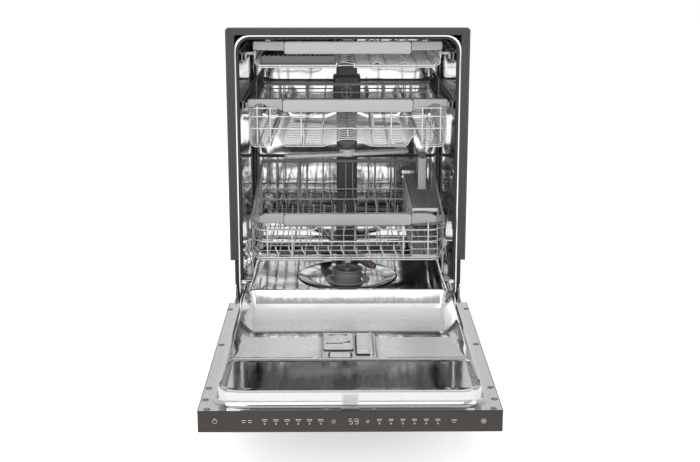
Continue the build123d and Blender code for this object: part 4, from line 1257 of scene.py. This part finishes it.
class DISHWASHER_OT_lower_rack(bpy.types.Operator):
    """Build the lower rack: bent wires, handle, rims, tine rows and wheels"""

    bl_idname = "dishwasher.lower_rack"
    bl_label = "Lower rack"

    def execute(self, context):
        thick, thin = sizes().rack_wire / MM, sizes().thin_wire / MM
        back = RACK_BACK
        paths = []
        for z, half, front in ((253.5, 239, 119), (259.5, 243, 118)):
            paths.append(level_loop(half, front, back - 6, z, 14))
        for z in (302, 333):
            ends = [(-84, 118, z), (-246 + 22, 118, z), (-250, 142, z + 3), (-250, back, z + 8),
                    (250, back, z + 8), (250, 142, z + 3), (246 - 22, 118, z), (84, 118, z)]
            if z == 333:
                paths.append([(-72, 119, 352), *ends, (72, 119, 352)])
            else:
                paths.append([*ends, ends[0]])
        for x in (144, 208):
            paths.extend(mirrored([[(x, 119, 352), (x, 117, 320), (x, 117, 262),
                                    (x, 126, 254.5), (x, back - 12, 254.5),
                                    (x, back + 1, 268), (x, back + 1, 424)]]))
        # the top rail rises towards the back
        paths.append([(-248, 150, 362), (-248, 330, 384), (-249, 430, 405), (-249, back, 427),
                      (249, back, 427), (249, 430, 405), (248, 330, 384), (248, 150, 362)])
        wires("lower_wires", paths, thick, "lower_rack",
              ["lower_rack_ends", "lower_rack_sides"], 11)

        paths = []
        for index in range(10):
            x = -180 + index * 34
            knee = 7 if index % 2 else -7
            paths.append([(x - 7, 117, 290), (x - 7, 117, 281), (x, 117, 272), (x, 117, 262),
                          (x, 126, 258), (x, back - 10, 258), (x, back - 1, 268),
                          (x, back - 1, 300), (x + knee, back - 2, 320), (x + knee, back - 2, 425)])
        for y in (150, 196, 290, 350, 455, 520):
            paths.append([(-249, y, 366 if y < 350 else 390), (-249, y, 268), (-238, y, 256.5),
                          (238, y, 256.5), (249, y, 268), (249, y, 366 if y < 350 else 390)])
        for y in (245, 320, 400, 490):
            paths.extend(mirrored([[(250, y, 384 if y < 400 else 404), (250, y, 262)]]))
        wires("lower_floor_wires", paths, thin, "lower_rack", ["lower_rack_floor"], 7)

        for row, y in (("front", 225), ("back", 400)):
            count = sizes().tine_count
            pitch = 356 / (count - 1)
            paths = [[(-234, y, 262), (154, y, 262)]]
            for tine in range(count):
                x = -218 + tine * pitch
                paths.append([(x, y, 262), (x, y, 300), (x + 5, y, 318), (x + 5, y, 334)])
            node = f"tine_row_{row}"
            wires(f"tines_{row}", paths, thin, node, [node], 6)
        dress("tine_clips", "pale_plastic", 0.4)

        form = bmesh.new()
        outline = both_halves([(168, 350), (176, 352), (228, 354), (228, 370), (214, 377),
                               (200, 378)])
        handle_bar(form, outline)
        for side in (-1, 1):
            start = [(side * 226, 112.6), (side * 252, 137), (side * 252, 186),
                     (side * 244, 186), (side * 244, 143), (side * 222, 124)]
            plate(form, start if side > 0 else start[::-1], 2, 353, 16, 2.0, 3)
            rail = [(184, 353), (184, 369), (330, 391), (430, 410), (back - 2, 431),
                    (back - 2, 421), (430, 398), (330, 377)]
            plate(form, rail, 0, side * 244 if side > 0 else -252, 8, 2.0, 2)
        block(form, (-252, back - 5, 421), (252, back + 3, 431), 2.4, 3)
        for x in (-74, 74):
            block(form, (x - 6, 114, 340), (x + 6, 124, 354), 2.4, 3)
        block(form, (-8, 112.6, 245), (8, 122, 263), 3.0, 3)
        keep("lower_handle", form, "lower_rack", "handle_plastic", ["lower_rack_rim"])
        insert_plate("lower_insert", "lower_rack", (-164, 347.4), (164, 377.6),
                     "lower_handle_insert")

        for side in (-1, 1):
            for end, y in zip(("front", "back"), WHEEL_PLACES):
                name = f"{end}_{'left' if side < 0 else 'right'}"
                node = "lower_wheel_" + name
                form = bmesh.new()
                turned(form, [(3.1, -5.4), (5.4, -5.4), (6, -4.2), (9.6, -3.2), (10.4, -5.0),
                              (13.2, -5.4), (14, -4.4), (14, 4.4), (13.2, 5.4), (10.4, 5.0),
                              (9.6, 3.2), (6, 4.2), (5.4, 5.4), (3.1, 5.4), (3.1, -5.4)],
                       (0, 0, 0), 32)
                swing(form, 90, "Y", (side * WHEEL_X, y, WHEEL_Z))
                for spoke in range(5):
                    angle = math.tau * spoke / 5
                    drum(form, (side * WHEEL_X, y + 5.4 * math.cos(angle),
                                WHEEL_Z + 5.4 * math.sin(angle)),
                         (0, math.cos(angle), math.sin(angle)), 1.7, 5.4, 10)
                keep("wheel_" + name, form, node, "pale_plastic", [node], 30)
        form = bmesh.new()
        for side in (-1, 1):
            for y in WHEEL_PLACES:
                plate(form, [(y - 11, 262), (y - 7, 208), (y, 204.6), (y + 7, 208), (y + 11, 262),
                             (y + 6, 268), (y - 6, 268)], 0, side * 252 - (4 if side > 0 else 0),
                      4, 1.0)
                drum(form, (side * 248, y, WHEEL_Z), (side, 0, 0), 3.0, 15.6, 16, 0.6)
                drum(form, (side * 247.4, y, WHEEL_Z), (side, 0, 0), 6.0, 4.6, 20, 0.8)
        keep("wheel_carriers", form, "lower_rack", "pale_plastic")
        return {"FINISHED"}


class DISHWASHER_OT_basket(bpy.types.Operator):
    """Build the cutlery basket with its slotted cover and carrying grip"""

    bl_idname = "dishwasher.basket"
    bl_label = "Cutlery basket"

    def execute(self, context):
        form = bmesh.new()
        lattice(form, (166.8, 131, 262), (233.2, 131, 380), 1, (4, 7), 6.0)
        lattice(form, (166.8, 555, 262), (233.2, 555, 380), 1, (4, 7), 6.0)
        lattice(form, (167, 131, 262), (167, 555, 380), 0, (30, 8), 4.6)
        lattice(form, (233, 131, 262), (233, 555, 380), 0, (30, 8), 4.6)
        lattice(form, (167, 131, 257), (233, 555, 257), 2, (6, 34), 4.4)
        lattice(form, (167, 272, 262), (233, 272, 380), 1, (5, 8), 4.4)
        lattice(form, (167, 414, 262), (233, 414, 380), 1, (5, 8), 4.4)
        walls = keep("basket_walls", form, "cutlery_basket", "basket_plastic", ())
        thicken(walls, 2.0, 0.0)

        form = bmesh.new()
        for z, height in ((255.6, 7), (379, 8.6)):
            profile = [(shrink, z + level) for shrink, level in
                       ((0.4, 0), (0, 0.8), (0, height - 0.8), (0.5, height), (2.6, height),
                        (3, height - 0.6), (3, 0.5), (2.4, 0))]
            shell(form, 2, profile, (166, 130), (234, 556), lambda shrink: 6 - shrink / 2,
                  hollow=True)
        for x in (167, 233):
            for y in (131, 272, 414, 555):
                block(form, (x - 1.0, y - 1.0, 258), (x + 1.0, y + 1.0, 382), 0.5)
        keep("basket_frame", form, "cutlery_basket", "basket_plastic", ["cutlery_basket"])

        form = bmesh.new()
        lattice(form, (167, 131, 389.5), (233, 555, 389.5), 2, (8, 50), 2.6)
        cover = keep("basket_mesh", form, "cutlery_basket", "duct_plastic", ())
        thicken(cover, 2.0, 0.0)
        form = bmesh.new()
        outline = [(193.6, 390), (195, 400), (195.4, 470), (196.4, 490), (199, 500), (206, 504.6),
                   (213, 500), (215.6, 490), (216.6, 470), (217, 400), (218.4, 390)]
        plate(form, outline, 1, 338.6, 12.8, 2.2, 3)
        for z in (404, 424, 444, 464):
            block(form, (199, 337.6, z), (213, 352.4, z + 2.2), 0.8)
        keep("basket_lid", form, "cutlery_basket", "basket_plastic", ["basket_cover"])
        form = bmesh.new()
        turned(form, [(7.4, -7.6), (10, -7.6), (10.6, -6.8), (10.6, 6.8), (10, 7.6), (7.4, 7.6),
                      (7.0, 6.8), (7.0, -6.8), (7.4, -7.6)], (0, 0, 0), 28)
        swing(form, 90, "X", (206, 345, 488))
        drum(form, (206, 352.8, 488), (0, -1, 0), 7.2, 15.6, 28)
        keep("basket_eye", form, "cutlery_basket", "duct_plastic")
        return {"FINISHED"}


def wave(y, drop=0.0):
    """The upper rack's cross wire: a wavy floor that turns up at both sides."""
    line = [(-249, 640), (-249, 566), (-240, 552), (-206, 551), (-190, 579), (-178, 579),
            (-162, 553), (-60, 553), (-16, 571), (16, 571), (60, 553), (150, 553), (164, 579),
            (176, 579), (192, 551), (240, 552), (249, 566), (249, 640)]
    return [(x, y, z - drop) for x, z in line]


class DISHWASHER_OT_upper_rack(bpy.types.Operator):
    """Build the upper rack: wavy wires, handle, cup shelves, manifold and spray arm"""

    bl_idname = "dishwasher.upper_rack"
    bl_label = "Upper rack"

    def execute(self, context):
        thick, thin = sizes().rack_wire / MM, sizes().thin_wire / MM
        back = RACK_BACK
        paths = [level_loop(249, 118, back, 599)]
        paths.append([(-72, 120, 658), (-86, 119, 629.5), (-249, 119, 629.5), (-249, back, 629.5),
                      (249, back, 629.5), (249, 119, 629.5), (86, 119, 629.5), (72, 120, 658)])
        paths.append(level_loop(246, 118, back, 651))
        for x in (-229, -196, -118, 110, 189, 235):
            paths.append([(x, 119, 656), (x, 117, 640), (x, 117, 562), (x, 128, 552),
                          (x, back - 10, 552), (x, back, 562), (x, back, 652)])
        wires("upper_wires", paths, thick, "upper_rack",
              ["upper_rack_ends", "upper_rack_sides"], 9)
        paths = [wave(121 + index * 26.3) for index in range(18)]
        for x, z in ((-184, 582), (170, 582), (0, 574.6), (-112, 550), (105, 550)):
            paths.append([(x, 119, 596), (x, 119, z + 2), (x, 130, z), (x, back - 10, z),
                          (x, back, z + 2), (x, back, 650)])
        # upright tines in two rows
        for x in (-66, 64):
            for index in range(13):
                y = 150 + index * 32
                paths.append([(x, y, 554), (x, y, 596), (x + 4, y, 612)])
        wires("upper_floor_wires", paths, thin, "upper_rack", ["upper_rack_floor"], 6)

        form = bmesh.new()
        half = [(52, 646)]
        for near, far in ((60, 88), (204, 236)):
            half += [(near, 655), (near + 4, 660), ((near + far) / 2, 663), (far - 4, 660),
                     (far, 655)]
            if near == 60:
                half += [(100, 646), (170, 646), (180, 654)]
        half += [(252, 655), (252, 671), (249, 674)]
        handle_bar(form, both_halves(half))
        twin_blocks(form, (244, 122, 643), (252, 571, 662), 2.2, 3)
        for y in (199, 501):
            twin_blocks(form, (231, y, 645), (246, y + 5, 656), 1.6)
            for side in (-1, 1):
                drum(form, (side * 236, y + (0 if y > 300 else 5), 650),
                     (0, -1 if y > 300 else 1, 0), 2.0, 9, 14)
        block(form, (-252, back - 3.4, 653), (252, back + 2.6, 659), 2.4, 3)
        keep("upper_handle", form, "upper_rack", "handle_plastic", ["upper_rack_rim"])
        form = bmesh.new()
        twin_blocks(form, (251.6, 126, 651.6), (259.4, 570, 664.4), 0.8)
        keep("upper_runners", form, "upper_rack", "zinc_plate", ())
        insert_plate("upper_insert", "upper_rack", (-164, 641.6), (164, 673.4),
                     "upper_handle_insert")

        for side in (-1, 1):
            name = "cup_shelf_left" if side < 0 else "cup_shelf_right"
            form = bmesh.new()
            lattice(form, (side * 236, 210, 658), (side * 236, 495, 712), 0, (24, 5), 3.4)
            shelf = keep(name + "_mesh", form, name, "duct_plastic", ())
            thicken(shelf, 2.2, 0.0)
            form = bmesh.new()
            drum(form, (side * 236, 205.6, 650), (0, 1, 0), 4.1, 288.8, 20, 0.6)
            for low, high in (((205.6, 652), (210.6, 715)), ((494.4, 652), (499.4, 715)),
                              ((205.6, 711), (499.4, 715.6)), ((205.6, 651), (499.4, 659))):
                block(form, (side * 236 - 1.5, *low), (side * 236 + 1.5, *high), 0.7)
            keep(name + "_frame", form, name, "duct_plastic", [name])

        form = bmesh.new()
        outline = both_halves([(12, 322), (22, 327), (20, 400), (18, 552), (28, 560),
                               (28, 573.6)])
        plate(form, outline, 2, 517, 16.6, 4.0, 3)
        hub = [(0, 506.4), (18, 506.4), (22, 508), (24, 512), (24, 530), (20, 534), (0, 534)]
        turned(form, hub, (0, UPPER_SPRAY_Y, 0), 40)
        block(form, (-26, 556, 520), (26, 573.6, 548), 3.6, 3)
        block(form, (-2, 360, 533), (2, 552, 537), 1.0)
        keep("manifold", form, "upper_rack", "duct_plastic", ["upper_manifold"])

        arm = bmesh.new()
        outline = both_halves([(0, -18), (60, -17), (150, -13), (170, -8), (175, 0), (170, 8),
                               (150, 13), (60, 17), (0, 18)])
        plate(arm, outline, 2, 486.2, 9.8, 3.2, 3)
        for place in (-160, -128, -96, -60, 60, 96, 128, 160):
            turned(arm, [(4.4, 495.8), (4.2, 497.4), (3, 498), (1.6, 497.4)], (place, 4, 0), 14)
            turned(arm, [(4.4, 486.4), (4.0, 485), (2.6, 484.6), (1.6, 485)], (place, -4, 0), 14)
        turned(arm, [(0, 484.4), (16, 484.4), (20.6, 486), (22, 490), (22, 500), (19, 504.6),
                     (0, 505)], (0, 0, 0), 40)
        swing(arm, 12, "Z", (0, UPPER_SPRAY_Y, 0))
        keep("upper_arm", arm, "upper_spray_arm", "pale_plastic", ["upper_spray_arm"])
        return {"FINISHED"}


class DISHWASHER_OT_third_rack(bpy.types.Operator):
    """Build the third rack: shallow wires, cutlery tray and slim handle"""

    bl_idname = "dishwasher.third_rack"
    bl_label = "Third rack"

    def execute(self, context):
        thick, thin = sizes().rack_wire / MM, sizes().thin_wire / MM
        back = RACK_BACK
        paths = []
        for low, high in ((-222, -28), (16, 219)):
            for z, front in ((758.6, 119), (753.8, 122)):
                paths.append([(low, front + 26, z + 5), (low, front, z + 5), (low, front, z),
                              (high, front, z), (high, front, z + 5), (high, front + 26, z + 5)])
        for z in (772, 790):
            paths.append([(-233, 128, 796), (-233, 128, z), (-233, back, z), (233, back, z),
                          (233, 128, z), (233, 128, 796)])
        wires("third_wires", paths, thick, "third_rack", ["third_rack_basket"], 8)
        paths = []
        for index in range(12):
            x = -216 + index * 39.2
            paths.append([(x, 122, 757.4), (x, 129, 755.6), (x, back - 8, 755.6),
                          (x, back, 762), (x, back, 790)])
        for index in range(15):
            y = 138 + index * 29.6
            paths.append([(-233, y, 790), (-233, y, 762), (-227, y, 756.6), (-26, y, 756.6),
                          (-14, y, 764 if index % 2 else 756.6), (18, y, 756.6), (60, y, 756.6),
                          (74, y, 766), (88, y, 756.6), (130, y, 756.6), (144, y, 766),
                          (158, y, 756.6), (227, y, 756.6), (233, y, 762), (233, y, 790)])
        wires("third_floor_wires", paths, thin, "third_rack", (), 5)

        form = bmesh.new()
        profile = ((0.6, 757.3), (0, 758.2), (0, 781), (2, 781), (2, 760), (4, 759.2))
        shell(form, 2, profile, (-218, 124), (-31, 550), lambda shrink: 5)
        for index in range(16):
            x = -210 + index * 11.4
            block(form, (x, 124.2, 779.4), (x + 5.6, 126.6, 783.4), 0.6)
        for index in range(13):
            y = 152 + index * 30
            block(form, (-214, y, 760), (-35, y + 2, 768), 0.6)
        for x in (-160, -92):
            block(form, (x, 128, 760), (x + 2, 546, 774), 0.6)
        keep("cutlery_tray", form, "third_rack", "duct_plastic", ["third_rack_tray"])

        form = bmesh.new()
        outline = both_halves([(60, 788), (152, 789), (160, 796), (226, 797), (236, 799),
                               (236, 816), (233, 819)])
        handle_bar(form, outline)
        twin_blocks(form, (228, 122, 788.4), (236, 571, 796), 1.6, 3)
        block(form, (-236, back - 6, 788.4), (236, back + 2.6, 796), 1.8, 3)
        keep("third_handle", form, "third_rack", "handle_plastic", ["third_rack_rim"])
        form = bmesh.new()
        twin_blocks(form, (234, 126, 784.4), (259.4, 570, 791.6), 0.8)
        twin_blocks(form, (252.2, 126, 773.4), (259.4, 570, 786), 0.8)
        keep("third_runners", form, "third_rack", "zinc_plate", ())
        insert_plate("third_insert", "third_rack", (-158, 787.4), (158, 818.6), None)
        return {"FINISHED"}


# ---------------------------------------------------------------- panel and run

STEPS = (
    DISHWASHER_OT_stage, DISHWASHER_OT_tub, DISHWASHER_OT_trim, DISHWASHER_OT_base,
    DISHWASHER_OT_duct, DISHWASHER_OT_sump, DISHWASHER_OT_liner, DISHWASHER_OT_vent,
    DISHWASHER_OT_dispenser, DISHWASHER_OT_door_skin, DISHWASHER_OT_lower_rack,
    DISHWASHER_OT_basket, DISHWASHER_OT_upper_rack, DISHWASHER_OT_third_rack,
)


class DISHWASHER_PT_panel(bpy.types.Panel):
    """Sizes, colours and build steps of the dishwasher"""

    bl_idname = "DISHWASHER_PT_panel"
    bl_label = "Dishwasher"
    bl_space_type = "VIEW_3D"
    bl_region_type = "UI"
    bl_category = "Dishwasher"

    def draw(self, context):
        layout = self.layout
        for group in (sizes(), colours()):
            box = layout.box()
            for name in group.__annotations__:
                box.prop(group, name)
        column = layout.column(align=True)
        for step in STEPS:
            column.operator(step.bl_idname)


CLASSES = (DishwasherSizes, DishwasherColours, *STEPS, DISHWASHER_PT_panel)


def register():
    """Register the classes and their settings."""
    for made in CLASSES:
        bpy.utils.register_class(made)
    bpy.types.Scene.dishwasher_sizes = PointerProperty(type=DishwasherSizes)
    bpy.types.Scene.dishwasher_colours = PointerProperty(type=DishwasherColours)


def unregister():
    """Take the classes and their settings away."""
    del bpy.types.Scene.dishwasher_colours
    del bpy.types.Scene.dishwasher_sizes
    for made in reversed(CLASSES):
        bpy.utils.unregister_class(made)


def main():
    """Build every piece in order."""
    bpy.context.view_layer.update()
    register()
    for step in STEPS:
        group, name = step.bl_idname.split(".")
        result = getattr(getattr(bpy.ops, group), name)()
        if result != {"FINISHED"}:
            raise RuntimeError(f"{step.bl_label} did not finish")
    bpy.context.view_layer.update()


if __name__ == "__main__":
    main()
